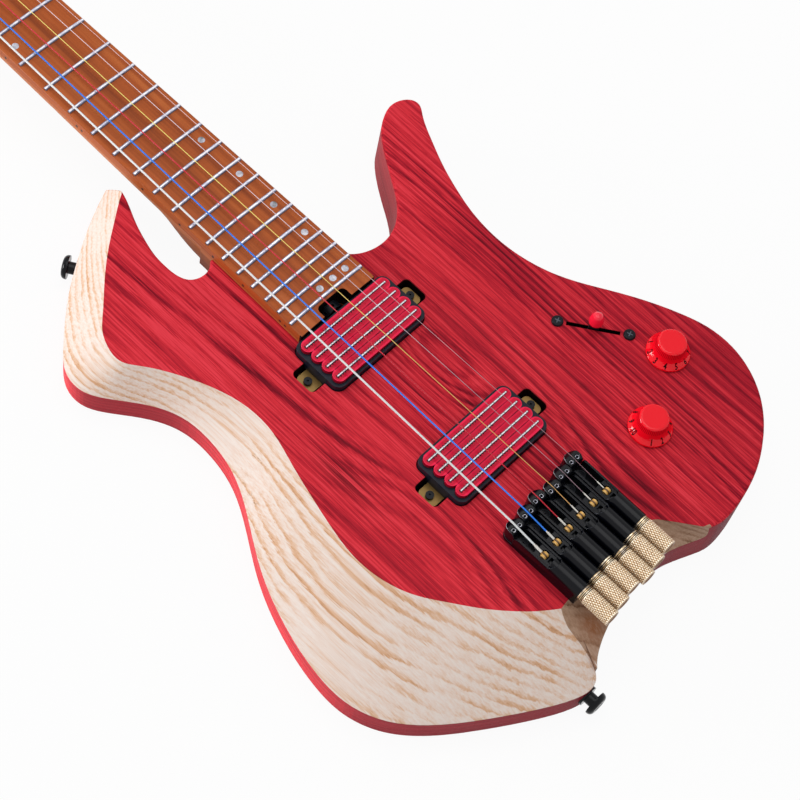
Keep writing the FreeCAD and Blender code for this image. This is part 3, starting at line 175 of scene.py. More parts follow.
# Wood: growth rings about a log axis along the neck, beyond the bass edge and under the body.
# Lengths are in metres, and a noise scale is in features a metre along X, Y and Z
log_axis_x = -0.2
log_axis_z = -0.2
ring_lean = 0.35
ring_pitch = 0.0046
fine_ring_pitch = 0.0015
faintest_ring = 0.35
sway_scale, sway_reach = (8, 2.2, 8), 0.034
ripple_scale, ripple_reach = (60, 9, 60), 0.0052
ragged_scale, ragged_reach = (620, 12, 620), 0.0036
streak_scale = (70, 9, 70)
fibre_scale = (820, 11, 820)
pore_scale = (1900, 90, 1900)
cloud_scale = (11, 3.4, 11)
patch_scale = (24, 4.5, 24)
smudge_scale = (34, 12, 34)
strata_scale = (14, 14, 620)

# Bends in the rings: middle, reach along X and Y, and height
swirls = [((0.018, 0.092), (0.016, 0.042), 0.017), ((-0.052, 0.02), (0.024, 0.06), -0.008),
          ((0.04, -0.02), (0.02, 0.06), 0.006)]

# Spots of the body with a look of their own: middle, reach along X and Y
calm_horn = (0.1, 0.19), (0.05, 0.07)
dark_hip = (0.11, -0.01), (0.03, 0.04)
pale_shoulder = (-0.056, 0.2), (0.055, 0.06)
flame_spot = (-0.068, 0.08), (0.006, 0.02)
warm_spot = (-0.028, -0.069), (0.007, 0.008)

# How far up a face looks: below wall_rise it is a wall or the back, above top_rise the flat top
back_rise = -0.5
wall_rise = 0.12
steep_rise = 0.5
top_rise = 0.9945

# The bare bevel on the bass side: where it lies and what bounds it
bass_line = -0.022
bevel_foot = 0.0187
bevel_facing = 0.02
horn_line = 0.322
horn_x = -0.075
waist_y = 0.2

# Boxes on the body with a finish or painted shade of their own: limits along X, Y and Z
recess_edge = -0.0413
tail_recess = (recess_edge, 0.058), (-0.1, -0.046), (0.012, None)
recess_cheek = (0.044, 0.058), (-0.078, -0.06), (0.018, 0.0379)
recess_lip = (-0.0445, -0.036), (-0.086, -0.072), (0.018, None)
cheek_facing = -0.45
# Y range over which painted shade turns the tail recess browner
recess_shade = (-0.086, -0.06)
# Pickup pockets, whose surfaces painted shade makes near-black
shaded_pickup_pockets = (-0.062, 0.062), (0.02, 0.162), (0.001, 0.0372)
slot_half_length = 0.018
slot_half_width = 0.004
slot_depth = (0.003, 0.0379)

# The notch at the body end of the neck and its board, blackened with painted shade
notch_half_width = 0.012
notch_end = 0.17
notch_floor = 0.03
heel_end = 0.1535
board_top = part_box("fretboard")[1].z - 0.001


def grey(value):
    return (value, value, value, 1.0)


def over(paint, value, limit):
    return paint.calc("GREATER_THAN", value, limit)


def under(paint, value, limit):
    return paint.calc("LESS_THAN", value, limit)


def both(paint, first, *others):
    """Product of shares: 1 where all of them are 1."""
    for other in others:
        first = paint.calc("MULTIPLY", first, other)
    return first


def either(paint, first, *others):
    """Largest of the shares: 1 where any of them is 1."""
    for other in others:
        first = paint.calc("MAXIMUM", first, other)
    return first


def between(paint, value, low, high):
    """1 where the value lies between two limits; None leaves the upper one open."""
    share = over(paint, value, low)
    return share if high is None else both(paint, share, under(paint, value, high))


def around(paint, value, middle, reach):
    """1 within a reach of a middle."""
    return between(paint, value, middle - reach, middle + reach)


def within(paint, place, limits):
    """1 inside a box, given by its limits along X, Y and Z."""
    return both(paint, *[between(paint, value, *pair) for value, pair in zip(place, limits)])


def weighted(paint, *pairs):
    """Sum of values, each times its weight."""
    total = 0.0
    for value, weight in pairs:
        total = paint.calc("MULTIPLY_ADD", value, weight, total)
    return total


def hill(paint, x, y, middle, reach):
    """Smooth rise to 1 at a middle, fading within a reach along X and Y."""
    total = 0.0
    for value, centre, width in ((x, middle[0], reach[0]), (y, middle[1], reach[1])):
        share = paint.calc("DIVIDE", paint.calc("SUBTRACT", value, centre), width)
        total = paint.calc("MULTIPLY_ADD", share, share, total)
    return paint.calc("EXPONENT", paint.calc("MULTIPLY", total, -1.0))


def waver(paint, value, scale, reach, detail=2.0, rough=0.5):
    """The value moved to either side by a noise."""
    wave = paint.calc("SUBTRACT", paint.noise(scale, detail, rough), 0.5)
    return paint.calc("MULTIPLY_ADD", wave, reach, value)


def ring_radius(paint):
    """Distance from the log's axis, with the sway of real rings and a few swirls."""
    x, y, z = paint.axes(paint.place())
    across = paint.calc("SUBTRACT", x, log_axis_x)
    above = paint.calc("SUBTRACT", z, log_axis_z)
    total = paint.calc("MULTIPLY_ADD", across, across, paint.calc("MULTIPLY", above, above))
    radius = paint.calc("MULTIPLY_ADD", z, ring_lean, paint.calc("POWER", total, 0.5))
    radius = waver(paint, radius, sway_scale, sway_reach)
    radius = waver(paint, radius, ripple_scale, ripple_reach)
    for middle, reach, height in swirls:
        radius = paint.calc("MULTIPLY_ADD", hill(paint, x, y, middle, reach), height, radius)
    return waver(paint, radius, ragged_scale, ragged_reach, 3.0, 0.7)


def ring_streak(paint, radius, pitch):
    """One dark band a ring: sharp on one side, fading on the other and uneven along its length."""
    turns = paint.calc("DIVIDE", radius, pitch)
    wave = paint.ramp(paint.calc("FRACT", turns), (0.0, grey(0.0)), (0.16, grey(0.12)),
                      (0.26, grey(1.0)), (0.4, grey(0.85)), (0.62, grey(0.3)), (1.0, grey(0.0)))
    ring = paint.calc("FLOOR", turns)
    own = paint.add("TexWhiteNoise", {"W": ring}, out="Value", noise_dimensions="1D")
    along = paint.span(paint.noise(streak_scale, 2.0), 0.36, 0.6, 0.3, 1.0)
    return both(paint, wave, paint.span(own, 0, 1, faintest_ring, 1.0), along)


def stained_ash(paint, x, y, streak, thin, fibre, pores):
    """Red stain: pink between the rings and wine red along them."""
    cloud = paint.noise(cloud_scale)
    patch = paint.span(paint.noise(patch_scale, 3.0, 0.6), 0.5, 0.72)
    calm = both(paint, streak, hill(paint, x, y, *calm_horn))
    open_pores = both(paint, pores, paint.span(streak, 0.05, 0.5, 0.3, 1.0))
    dark = weighted(paint, (streak, 0.66), (calm, -0.2), (thin, 0.18), (fibre, 0.42),
                    (patch, 0.2), (hill(paint, x, y, *dark_hip), 0.14), (open_pores, 0.34),
                    (hill(paint, x, y, *pale_shoulder), -0.15))
    red = paint.ramp(dark, (0.08, tone(238, 64, 78)), (0.26, tone(220, 48, 60)),
                     (0.46, tone(186, 32, 49)), (0.74, tone(142, 18, 37)), (1.0, tone(94, 9, 26)))
    red = paint.mix(paint.span(cloud, 0.5, 0.74, 0.0, 0.45), red, tone(150, 18, 38))
    red = paint.mix(paint.span(cloud, 0.48, 0.28, 0.0, 0.3), red, tone(232, 56, 68))
    flame = both(paint, hill(paint, x, y, *flame_spot), paint.span(fibre, 0.1, 0.7), 0.8)
    return paint.mix(flame, red, tone(70, 8, 22))


def bare_ash(paint, bare_dark, streak, pores):
    """Pale wood with grey smudges in its pores."""
    bare = paint.ramp(bare_dark, (0.08, tone(243, 228, 219)), (0.28, tone(239, 216, 202)),
                      (0.46, tone(231, 194, 166)), (0.72, tone(219, 170, 132)),
                      (1.0, tone(188, 138, 102)))
    smudge = paint.span(paint.noise(smudge_scale, 2.0), 0.6, 0.68)
    smudge = both(paint, smudge, paint.span(streak, 0.1, 0.4), pores, 0.7)
    return paint.mix(smudge, bare, tone(122, 112, 100))


def recess_ash(paint, x, y, bare_dark, fibre):
    """Bare wood in the tail recess, with painted shade making it browner on its side towards the
    neck, and warm at one end.
    """
    open_wood = paint.ramp(bare_dark, (0.0, tone(208, 176, 156)), (0.5, tone(178, 138, 112)),
                           (1.0, tone(112, 80, 62)))
    # Painted shade: the browner wood the recess turns to on its side towards the neck.
    shaded_wood = paint.ramp(bare_dark, (0.0, tone(184, 150, 124)), (1.0, tone(104, 72, 52)))
    recess = paint.mix(paint.span(y, *recess_shade, 0.0, 0.7), open_wood, shaded_wood)
    warm = both(paint, hill(paint, x, y, *warm_spot), paint.span(fibre, 0.0, 0.6, 0.6, 1.0), 0.75)
    return paint.mix(warm, recess, tone(170, 102, 58))


def side_ash(paint, x, nx, ny):
    """Stain with grain strata on the side walls, and painted light: paler towards the bass side and
    brightest along the waist, where the walls face the side lamp.
    """
    # Painted light: the walls' red pales as they turn to face the bass side, where the side lamp
    # stands.
    outward = paint.calc("MULTIPLY", nx, -1.0)
    red = paint.mix(paint.span(outward, 0.1, 0.8), tone(118, 22, 38), tone(192, 58, 68))
    # Painted light: brightest red where the bass-side walls face the side lamp, along the waist.
    facing_side_lamp = weighted(paint, (nx, -0.6), (ny, 0.78))
    lit = both(paint, paint.span(facing_side_lamp, 0.3, 0.8), under(paint, x, bass_line))
    red = paint.mix(lit, red, tone(252, 74, 84))
    strata = paint.span(paint.noise(strata_scale, 3.0, 0.6), 0.4, 0.66)
    return paint.mix(both(paint, strata, 0.4), red, tone(104, 14, 32))


def bass_bevel(paint, x, y, z, nx, slope):
    """1 on the bare bevel, along the outer edge and the horn but not in the cutaway."""
    bass = under(paint, x, bass_line)
    horn = over(paint, paint.calc("SUBTRACT", y, x), horn_line)
    outer = either(paint, horn, under(paint, y, waist_y), under(paint, x, horn_x))
    facing = either(paint, both(paint, under(paint, nx, bevel_facing), bass),
                    under(paint, x, recess_edge))
    return both(paint, slope, outer, facing, over(paint, z, bevel_foot), bass)


def selector_slot(paint, x, y, z, nz):
    """1 on the walls of the slot that the selector's lever comes through, where painted shade turns
    them near-black.
    """
    ends = [(low + high) / 2 for low, high in islands("selector_screws")]
    middle = (ends[0] + ends[1]) / 2
    way = (ends[1] - ends[0]).normalized()
    along = weighted(paint, (x, way.x), (y, way.y))
    across = weighted(paint, (x, -way.y), (y, way.x))
    along_middle = middle.x * way.x + middle.y * way.y
    across_middle = middle.y * way.x - middle.x * way.y
    return both(paint, under(paint, nz, steep_rise),
                around(paint, along, along_middle, slot_half_length),
                around(paint, across, across_middle, slot_half_width),
                between(paint, z, *slot_depth))


def ash_paint():
    """Open-pored ash: stained red, but bare on the bass bevel and in the tail recess."""
    paint = Paint("stained_ash", rough=0.5, specular=0.06)
    x, y, z = place = paint.axes(paint.place())
    nx, ny, nz = paint.axes(paint.add("NewGeometry", out="True Normal"))
    radius = ring_radius(paint)
    streak = ring_streak(paint, radius, ring_pitch)
    thin = ring_streak(paint, radius, fine_ring_pitch)
    fibre = paint.span(paint.noise(fibre_scale, 4.0, 0.75), 0.38, 0.62)
    pores = paint.span(paint.noise(pore_scale, 2.0, 0.6), 0.54, 0.68)
    open_pores = both(paint, pores, paint.span(streak, 0.1, 0.6, 0.1, 1.0))
    bare_dark = weighted(paint, (streak, 0.68), (thin, 0.12), (fibre, 0.28), (open_pores, 0.22))

    slope = between(paint, nz, wall_rise, top_rise)
    tail = both(paint, slope, within(paint, place, tail_recess))
    cheek = both(paint, under(paint, nx, cheek_facing), within(paint, place, recess_cheek))
    lip = both(paint, under(paint, nz, wall_rise), within(paint, place, recess_lip))
    wall = between(paint, nz, back_rise, wall_rise)

    color = stained_ash(paint, x, y, streak, thin, fibre, pores)
    # Side walls: red stain with painted light and shade.
    color = paint.mix(wall, color, side_ash(paint, x, nx, ny))
    color = paint.mix(either(paint, tail, cheek, lip), color,
                      recess_ash(paint, x, y, bare_dark, fibre))
    color = paint.mix(bass_bevel(paint, x, y, z, nx, slope), color,
                      bare_ash(paint, bare_dark, streak, pores))
    # Painted shade: the pickup pockets near-black.
    color = paint.mix(within(paint, place, shaded_pickup_pockets), color, tone(30, 12, 13))
    # Painted shade: the selector slot's walls near-black.
    paint.color(paint.mix(selector_slot(paint, x, y, z, nz), color, tone(9, 8, 9)))
    paint.bump(weighted(paint, (pores, -0.6), (fibre, -0.4)), 0.00025, 0.5, edge=0.0006)
    return paint.material


def maple_paint(name, light, middle, deep):
    """Roasted maple: faint lines along the neck, soft flecks, and painted shade that blackens the
    notch at its body end.
    """
    paint = Paint(name, rough=0.42, specular=0.14)
    lines = paint.noise((260, 5, 260), 4.0, 0.62)
    bands = paint.noise((40, 1.6, 40), 3.0, 0.55)
    flecks = paint.noise((900, 30, 900), 2.0, 0.6)
    blend = weighted(paint, (lines, 0.55), (bands, 0.45))
    color = paint.ramp(blend, (0.30, deep), (0.50, middle), (0.68, light))
    color = paint.mix(both(paint, paint.span(flecks, 0.58, 0.75), 0.28), color, deep)
    x, y, z = paint.axes(paint.place())
    nz = paint.axes(paint.add("NewGeometry", out="True Normal"))[2]
    notch_shade = both(paint, around(paint, x, 0.0, notch_half_width), under(paint, y, notch_end))
    notch_shade = either(paint, notch_shade, under(paint, y, heel_end))
    below = either(paint, under(paint, nz, steep_rise), under(paint, z, board_top))
    notch_shade = both(paint, notch_shade, below, over(paint, z, notch_floor))
    # Painted shade: the notch and the neck's end below the board near-black.
    paint.color(paint.mix(notch_shade, color, tone(12, 8, 8)))
    paint.bump(lines, 0.00012, 0.35, edge=0.0004)
    return paint.material


# Hard finishes, in metres and features a metre
polish_scale = (900, 900, 900)
polish_wave_scale = (120, 120, 120)
polish_wear = 0.08
polish_bump = 0.00002
# Widths of the painted highlights along edges
edge_highlight_width = 0.0004
fine_edge_highlight_width = 0.0003
gloss_edge = 0.0006
blade_bright = (0.00026, 0.00044)
bobbin_rim = 0.0045
bobbin_seam = (0.0036, 0.00395)
bobbin_shaded_side_rise = 0.3
tick_pitch = 0.0018
tick_gap = 0.62
tick_reach = 0.00125
ticks_end = 0.012
coil_turns = 4000.0


def metal_paint(name, color, rough=0.28, metal=1.0, edge=0.0002, specular=0.5, edge_highlight=None,
                width=edge_highlight_width):
    """Metal or hard plastic, unevenly polished and, given an edge colour, paler on its edges as a
    painted highlight.
    """
    paint = Paint(name, color, rough, metal, specular=specular)
    if edge_highlight:
        # Painted highlight: the edge colour along sharp edges.
        paint.color(paint.mix(paint.edges(width, 0.06, 0.4), color, edge_highlight))
    wave = both(paint, paint.noise(polish_wave_scale, 2.0), polish_wear)
    paint.rough(paint.calc("ADD", rough - polish_wear / 2, wave))
    paint.bump(paint.noise(polish_scale, 2.0), polish_bump, 0.25, edge=edge)
    return paint.material


def saddle_paint():
    """Black gloss with painted highlights: pale grey along its edges and a white glint on its
    rounded corners towards the bass side.
    """
    paint = Paint("black_saddle", rough=0.16, specular=0.17)
    normal = paint.add("Bevel", {"Radius": gloss_edge}, samples=6)
    nx, ny, nz = paint.axes(normal)
    # Painted highlight: a white glint where the rounded corners face the side lamp.
    towards = weighted(paint, (nx, -0.72), (ny, 0.65), (nz, 0.25))
    glint = both(paint, paint.span(towards, 0.64, 0.86), paint.edges(gloss_edge, 0.005, 0.08))
    # Painted highlight: pale grey along the edges.
    color = paint.mix(paint.edges(fine_edge_highlight_width, 0.06, 0.4), tone(5, 6, 12), tone(84, 88, 100))
    paint.color(paint.mix(glint, color, tone(214, 218, 226)))
    paint.put(paint.shader.inputs["Normal"], normal)
    return paint.material


def fret_paint():
    """Polished crown with a painted highlight: bright along its top and lilac grey down its flanks.
    """
    paint = Paint("fret_wire", rough=0.3, metal=0.3, specular=0.4)
    nz = paint.axes(paint.add("NewGeometry", out="Normal"))[2]
    # Painted highlight: the colour follows how far up the crown faces, its borders wobbled by
    # noise.
    highlight_wobble = paint.span(paint.noise((300, 900, 300), 2.0), 0.3, 0.7, -0.02, 0.02)
    rise = paint.calc("ADD", nz, highlight_wobble)
    paint.color(paint.ramp(rise, (0.7, tone(112, 112, 130)), (0.9, tone(160, 160, 182)),
                           (0.965, tone(180, 180, 202)), (0.99, tone(208, 208, 226)),
                           (0.9995, tone(250, 250, 252))))
    return paint.material


def blade_distance(paint):
    """Distance to the nearest blade's middle line, round past its ends."""
    x, y = paint.axes(paint.place())[:2]
    nearest = 1.0
    for low, high in islands("pickup_blades"):
        half = (high.x - low.x) / 2
        past = paint.calc("ABSOLUTE", paint.calc("SUBTRACT", x, (low.x + high.x) / 2))
        past = paint.calc("MAXIMUM", paint.calc("SUBTRACT", past, half), 0.0)
        away = paint.calc("SUBTRACT", y, (low.y + high.y) / 2)
        total = paint.calc("MULTIPLY_ADD", past, past, paint.calc("MULTIPLY", away, away))
        nearest = paint.calc("MINIMUM", nearest, paint.calc("POWER", total, 0.5))
    return nearest


def blade_paint():
    """Steel bar, bright along its middle as a painted highlight and dark on its edges as painted
    shade, with small dark marks.
    """
    paint = Paint("blade_steel", rough=0.3, metal=0.4, specular=0.4)
    marks = paint.span(paint.noise((900, 1, 1), 1.0), 0.55, 0.6)
    # Painted highlight along the blade's middle line, painted shade towards its edges.
    middle = paint.span(blade_distance(paint), *blade_bright, 1.0, 0.0)
    middle = both(paint, middle, paint.calc("SUBTRACT", 1.0, both(paint, marks, 0.6)))
    paint.color(paint.mix(middle, tone(46, 46, 50), tone(206, 202, 206)))
    return paint.material


def bobbin_paint():
    """Glossy red moulding: painted shade dark against the blades and down its sides, dark in the
    seams, and a painted highlight pinker on its rims.
    """
    paint = Paint("bobbin_red", rough=0.24, specular=0.1)
    x, y = paint.axes(paint.place())[:2]
    nz = paint.axes(paint.add("NewGeometry", out="True Normal"))[2]
    uneven = paint.span(paint.noise((90, 240, 90), 2.0), 0.35, 0.65, -0.00016, 0.00016)
    away = paint.calc("ADD", blade_distance(paint), uneven)
    # Painted shade next to the blades, and a painted highlight in the pink band towards the rims.
    color = paint.ramp(paint.span(away, 0.0, bobbin_rim), (0.14, tone(110, 10, 34)),
                       (0.24, tone(222, 16, 58)), (0.56, tone(216, 14, 56)),
                       (0.66, tone(255, 26, 74)), (0.86, tone(255, 40, 86)))
    inner = 0.0
    for node in ("neck_pickup_bobbins", "bridge_pickup_bobbins"):
        low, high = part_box(node)
        area = both(paint, between(paint, x, low.x + bobbin_rim, high.x - bobbin_rim),
                    between(paint, y, low.y + bobbin_rim, high.y - bobbin_rim))
        inner = either(paint, area, inner)
    color = paint.mix(both(paint, inner, 0.6), color, tone(208, 14, 54))
    seam = both(paint, inner, paint.span(away, *bobbin_seam), 0.8)
    color = paint.mix(seam, color, tone(104, 6, 28))
    # Painted highlight: pink along the outer edges.
    outer = paint.span(paint.edges(0.0012, 0.02, 0.12), 0.0, 0.5)
    color = paint.mix(outer, color, tone(255, 40, 86))
    share = paint.calc("FRACT", paint.calc("DIVIDE", x, tick_pitch))
    tick = both(paint, over(paint, share, tick_gap), under(paint, away, tick_reach),
                under(paint, x, ticks_end))
    color = paint.mix(tick, color, tone(52, 8, 22))
    # Painted shade: the sides darker red.
    paint.color(paint.mix(under(paint, nz, bobbin_shaded_side_rise), color, tone(150, 8, 36)))
    paint.bump(paint.noise(polish_scale, 2.0), polish_bump, 0.25, edge=0.0003)
    return paint.material


def pearl_paint():
    """Small pearl discs, silver to smoke."""
    paint = Paint("pearl", rough=0.2, coat=0.4)
    swirl = paint.noise((260, 200, 260), 3.0, 0.6)
    paint.color(paint.ramp(swirl, (0.3, tone(96, 106, 104)), (0.48, tone(176, 176, 190)),
                           (0.62, tone(226, 226, 236))))
    paint.bump(swirl, 0.00003, 0.3)
    return paint.material


def ridges_of(paint):
    """Share that a piece's vertices carry: 1 on the ridges, 0 in the grooves."""
    return paint.add("Attribute", out="Fac", attribute_name="ridge")


def grip_paint():
    """Champagne knurl: pale on its points as a painted highlight, tan in its grooves as painted
    shade.
    """
    paint = Paint("champagne_knurl", rough=0.36, metal=0.55, specular=0.4)
    grain = paint.span(paint.noise((1300, 1300, 1300), 1.0), 0.35, 0.65, -0.15, 0.15)
    height = paint.calc("ADD", ridges_of(paint), grain)
    # Painted highlight on the knurl's points and painted shade in its grooves.
    paint.color(paint.ramp(height, (0.12, tone(132, 94, 62)), (0.34, tone(204, 168, 126)),
                           (0.56, tone(236, 212, 176)), (0.8, tone(255, 246, 226))))
    return paint.material


def knob_paint():
    """Glossy red moulding, a little darker between its ribs as painted shade."""
    paint = Paint("knob_red", rough=0.08, specular=0.26)
    # Painted shade: darker between the ribs.
    paint.color(paint.mix(ridges_of(paint), tone(176, 4, 20), tone(255, 10, 34)))
    paint.bump(paint.noise(polish_wave_scale, 2.0), 0.00001, 0.2, edge=0.0002)
    return paint.material


def collar_paint():
    """Gold and smoke-grey rings turn about, dark in the grooves as painted shade."""
    paint = Paint("collar_rings", rough=0.25, metal=0.7)
    shade = paint.noise((160, 1400, 160), 1.0)
    bright = paint.ramp(shade, (0.42, tone(150, 138, 126)), (0.5, tone(206, 168, 110)),
                        (0.58, tone(240, 226, 200)))
    # Painted shade: dark in the grooves between the rings.
    paint.color(paint.mix(ridges_of(paint), tone(40, 32, 28), bright))
    return paint.material


def wire_turns(paint, scale, distortion, way):
    """Waves across the turns of a wire."""
    inputs = {"Vector": paint.place(), "Scale": scale, "Distortion": distortion}
    return paint.add("TexWave", inputs, bands_direction=way)


def coil_paint():
    """Turns of enamelled copper wire."""
    paint = Paint("copper_coil", tone(140, 70, 40), 0.35, 0.6)
    turns = wire_turns(paint, coil_turns, 0.4, "Z")
    paint.color(paint.ramp(turns, (0.2, tone(90, 36, 22)), (0.8, tone(184, 96, 60))))
    paint.bump(turns, 0.00005, 0.6)
    return paint.material


# Strings: where painted shade near the bridge gives way to the coating's own colour, and the ball's
# bore, painted as shade, and its edge, painted as a highlight, in metres, and the lengths of ball
# and wrap from the string's tail end, in millimetres
string_shade_span = (0.06, 0.22)
ball_length = 4.1
wrap_end = 10
ball_bore_shade = (0.0004, 0.0007)
ball_edge_highlight = 0.0005
first_wound = 4


def string_paint(name, color, shaded, wound, ball_x, start):
    """Coated string, duller near the bridge as painted shade, with a gold ball end, a bare wrap and
    wound turns.
    """
    paint = Paint(name, color, 0.3, 0.0, specular=0.4)
    scale, shading, height = (1250.0, 0.5, 0.00006) if wound else (90.0, 0.12, 0.00001)
    turns = wire_turns(paint, scale, 0.0, "Y")
    across, along = paint.axes(paint.place())[:2]
    # Painted shade: the coating darker near the bridge.
    coat = paint.mix(paint.span(along, *string_shade_span), shaded, color)
    shade = paint.mix(1.0, coat, grey(0.62), kind="MULTIPLY")
    coat = paint.mix(both(paint, turns, shading), coat, shade)
    # Painted shade across the ball's middle for its bore, and a painted highlight along its edges.
    off = paint.calc("ABSOLUTE", paint.calc("SUBTRACT", across, ball_x))
    gold = paint.mix(paint.span(off, *ball_bore_shade), tone(96, 66, 34), tone(232, 178, 92))
    gold = paint.mix(paint.edges(ball_edge_highlight), gold, tone(255, 236, 190))
    bare = paint.mix(under(paint, along, start + ball_length * MM), tone(226, 222, 214), gold)
    paint.color(paint.mix(under(paint, along, start + wrap_end * MM), coat, bare))
    paint.bump(turns, height, 0.6)
    return paint.material


# Added pieces: an edge sharper than this isn't smoothed over
sharp_angle = math.radians(38)


def add_piece(name, vertices, faces, material, body, smooth=True, ridges=None):
    """Mesh object from metre coordinates, riding on a body; ridges are a share for each vertex."""
    mesh = bpy.data.meshes.new(name)
    mesh.from_pydata(vertices, [], faces)
    if ridges:
        mesh.attributes.new("ridge", "FLOAT", "POINT").data.foreach_set("value", ridges)
    mesh.materials.append(material)
    mesh.validate()
    piece = bpy.data.objects.new(name, mesh)
    bpy.context.scene.collection.objects.link(piece)
    if smooth:
        mesh.shade_smooth()
        mesh.set_sharp_from_angle(angle=sharp_angle)
    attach(piece, body)
    return piece


def lathe(profile, steps, ripple=None):
    """Vertices and faces of a turned shape about Z, from its middle below to its middle above."""
    vertices = [(0, 0, profile[0][1])]
    for row, (radius, height) in enumerate(profile):
        for step in range(steps):
            angle = FULL_TURN * step / steps
            r = radius + (ripple(row, angle) if ripple else 0)
            vertices.append((r * math.cos(angle), r * math.sin(angle), height))
    vertices.append((0, 0, profile[-1][1]))
    faces = []
    last = len(vertices) - 1
    for step in range(steps):
        after = (step + 1) % steps
        faces.append((0, 1 + after, 1 + step))
        for row in range(len(profile) - 1):
            a, b = 1 + row * steps, 1 + (row + 1) * steps
            faces.append((a + step, a + after, b + after, b + step))
        top = 1 + (len(profile) - 1) * steps
        faces.append((top + step, top + after, last))
    return vertices, faces


def smooth_profile(points, rows):
    """Points along a curve through the given ones, evenly stepped between each pair."""
    out = []
    ends = [points[0]] + list(points) + [points[-1]]
    for a, b, c, d in zip(ends, ends[1:], ends[2:], ends[3:]):
        for row in range(rows):
            t = row / rows
            out.append(tuple(0.5 * (2 * q + (r - p) * t + (2 * p - 5 * q + 4 * r - s) * t * t
                                    + (3 * q - p - 3 * r + s) * t ** 3)
                             for p, q, r, s in zip(a, b, c, d)))
    return out + [points[-1]]


# Knobs on the controls: radius and height above the knob's foot, in millimetres
knob_foot = [(9.0, 0.0), (12.45, 0.0), (12.7, 0.25), (12.7, 1.0)]
knob_skirt = [(12.7, 1.0), (12.45, 1.45), (11.5, 2.35), (10.4, 3.6), (9.55, 5.1), (9.2, 6.6)]
knob_crown = [(9.2, 6.6), (8.85, 8.8), (8.55, 10.9), (8.3, 11.6), (7.7, 12.05), (6.8, 12.2),
              (3.4, 12.2)]
knob_ribs = 54
knob_rib_depth = 0.16
knob_rib_top = 11.4
knob_steps = 432
knob_rows = 4
numeral_size = 3.5
numeral_weight = 0.09
numeral_radius = 11.25
numeral_lift = 0.06
numeral_smoothness = 4
numeral_step = math.radians(33)
volume_first_angle = math.radians(222)
tone_first_angle = math.radians(111)


def skirt_height(radius):
    """Height of the skirt's surface at a radius, in millimetres."""
    for (r0, h0), (r1, h1) in zip(knob_skirt, knob_skirt[1:]):
        if r1 <= radius <= r0:
            return h0 + (h1 - h0) * (r0 - radius) / (r0 - r1)
    return knob_skirt[0][1]


def knob_place(node):
    """Foot of a knob, on its axis."""
    low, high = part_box(node)
    return Vector(((low.x + high.x) / 2, (low.y + high.y) / 2, low.z))


def add_knob(node, body):
    """Turned knob with a ribbed crown and a hollowed skirt."""
    skirt = smooth_profile(knob_skirt, knob_rows)
    crown = smooth_profile(knob_crown, knob_rows)
    profile = knob_foot[:-1] + skirt[:-1] + crown
    first_rib = len(knob_foot) - 1 + len(skirt) + 1

    def ripple(row, angle):
        if row < first_rib or profile[row][1] > knob_rib_top:
            return 0.0
        return -knob_rib_depth * (0.5 - 0.5 * math.cos(angle * knob_ribs)) ** 2

    vertices, faces = lathe(profile, knob_steps, ripple)
    foot = knob_place(node)
    ridges = [1.0] + [1 + ripple(row, FULL_TURN * step / knob_steps) / knob_rib_depth
                      for row in range(len(profile)) for step in range(knob_steps)] + [1.0]
    vertices = [foot + Vector(v) * MM for v in vertices]
    knob = add_piece(node + "_turned", vertices, faces, finishes["knob"], body,
                     ridges=ridges)
    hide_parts(node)


def add_numerals(node, body, first_angle):
    """Plain numerals 1 to 10 printed round the skirt."""
    foot = knob_place(node)
    vertices, faces = [], []
    for number in range(1, 11):
        curve = bpy.data.curves.new("numeral", "FONT")
        curve.body = str(number)
        curve.size = numeral_size * MM
        curve.align_x = "CENTER"
        curve.align_y = "CENTER"
        curve.offset = numeral_weight * MM
        curve.resolution_u = numeral_smoothness
        text = bpy.data.objects.new("numeral", curve)
        bpy.context.scene.collection.objects.link(text)
        bpy.context.view_layer.update()
        shown = text.evaluated_get(bpy.context.evaluated_depsgraph_get())
        mesh = bpy.data.meshes.new_from_object(shown)
        middle = first_angle + (number - 1) * numeral_step
        start = len(vertices)
        for vertex in mesh.vertices:
            radius = numeral_radius - vertex.co.y / MM
            angle = middle + vertex.co.x / MM / numeral_radius
            height = skirt_height(radius) + numeral_lift
            place = Vector((radius * math.cos(angle), radius * math.sin(angle), height))
            vertices.append(foot + place * MM)
        faces += [[start + index for index in face.vertices] for face in mesh.polygons]
        bpy.data.objects.remove(text)
        bpy.data.meshes.remove(mesh)
        bpy.data.curves.remove(curve)
    add_piece(node + "_numerals", vertices, faces, finishes["print"], body,
              smooth=False)


# Tuner knobs, in millimetres. Heights of the collar and screw are from the collar's front face,
# towards the tail
collar_length = 3.0
collar_radius = 4.8
collar_hole = 2.0
collar_grooves = (0.9, 1.9)
groove_depth = 0.42
collar_steps = 96
grip_length = 18.1
grip_radius = 4.95
grip_rim = 0.55
knurl_around = 22
knurl_pitch = 1.43
knurl_depth = 0.3
knurl_samples = 5
tuner_screw = [(1.9, -14.0), (2.0, -13.8), (2.0, 0.0), (1.0, 0.2)]
tuner_screw_steps = 32


def along_neck(vertices, node, shift=0.0):
    """Turned coordinates laid along the neck, with their height running towards the tail."""
    low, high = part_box(node)
    axis_x = (low.x + high.x) / 2
    axis_z = (low.z + high.z) / 2
    start = low.y + (grip_length + collar_length) * MM
    return [Vector((axis_x + v[0] * MM, start - (v[2] + shift) * MM, axis_z + v[1] * MM))
            for v in vertices]


def add_turned(name, node, profile, steps, finish, body, ripple=None, shift=0.0, outer=None,
               depth=1.0):
    """Shape turned about a tuner knob's axis; ridges are read down from an outer radius."""
    vertices, faces = lathe(profile, steps, ripple)
    faces = [tuple(reversed(face)) for face in faces]
    ridges = None
    if outer:
        ridges = [max(0.0, 1 - (outer - math.hypot(v[0], v[1])) / depth) for v in vertices]
    return add_piece(name, along_neck(vertices, node, shift), faces, finishes[finish], body,
                     ridges=ridges)


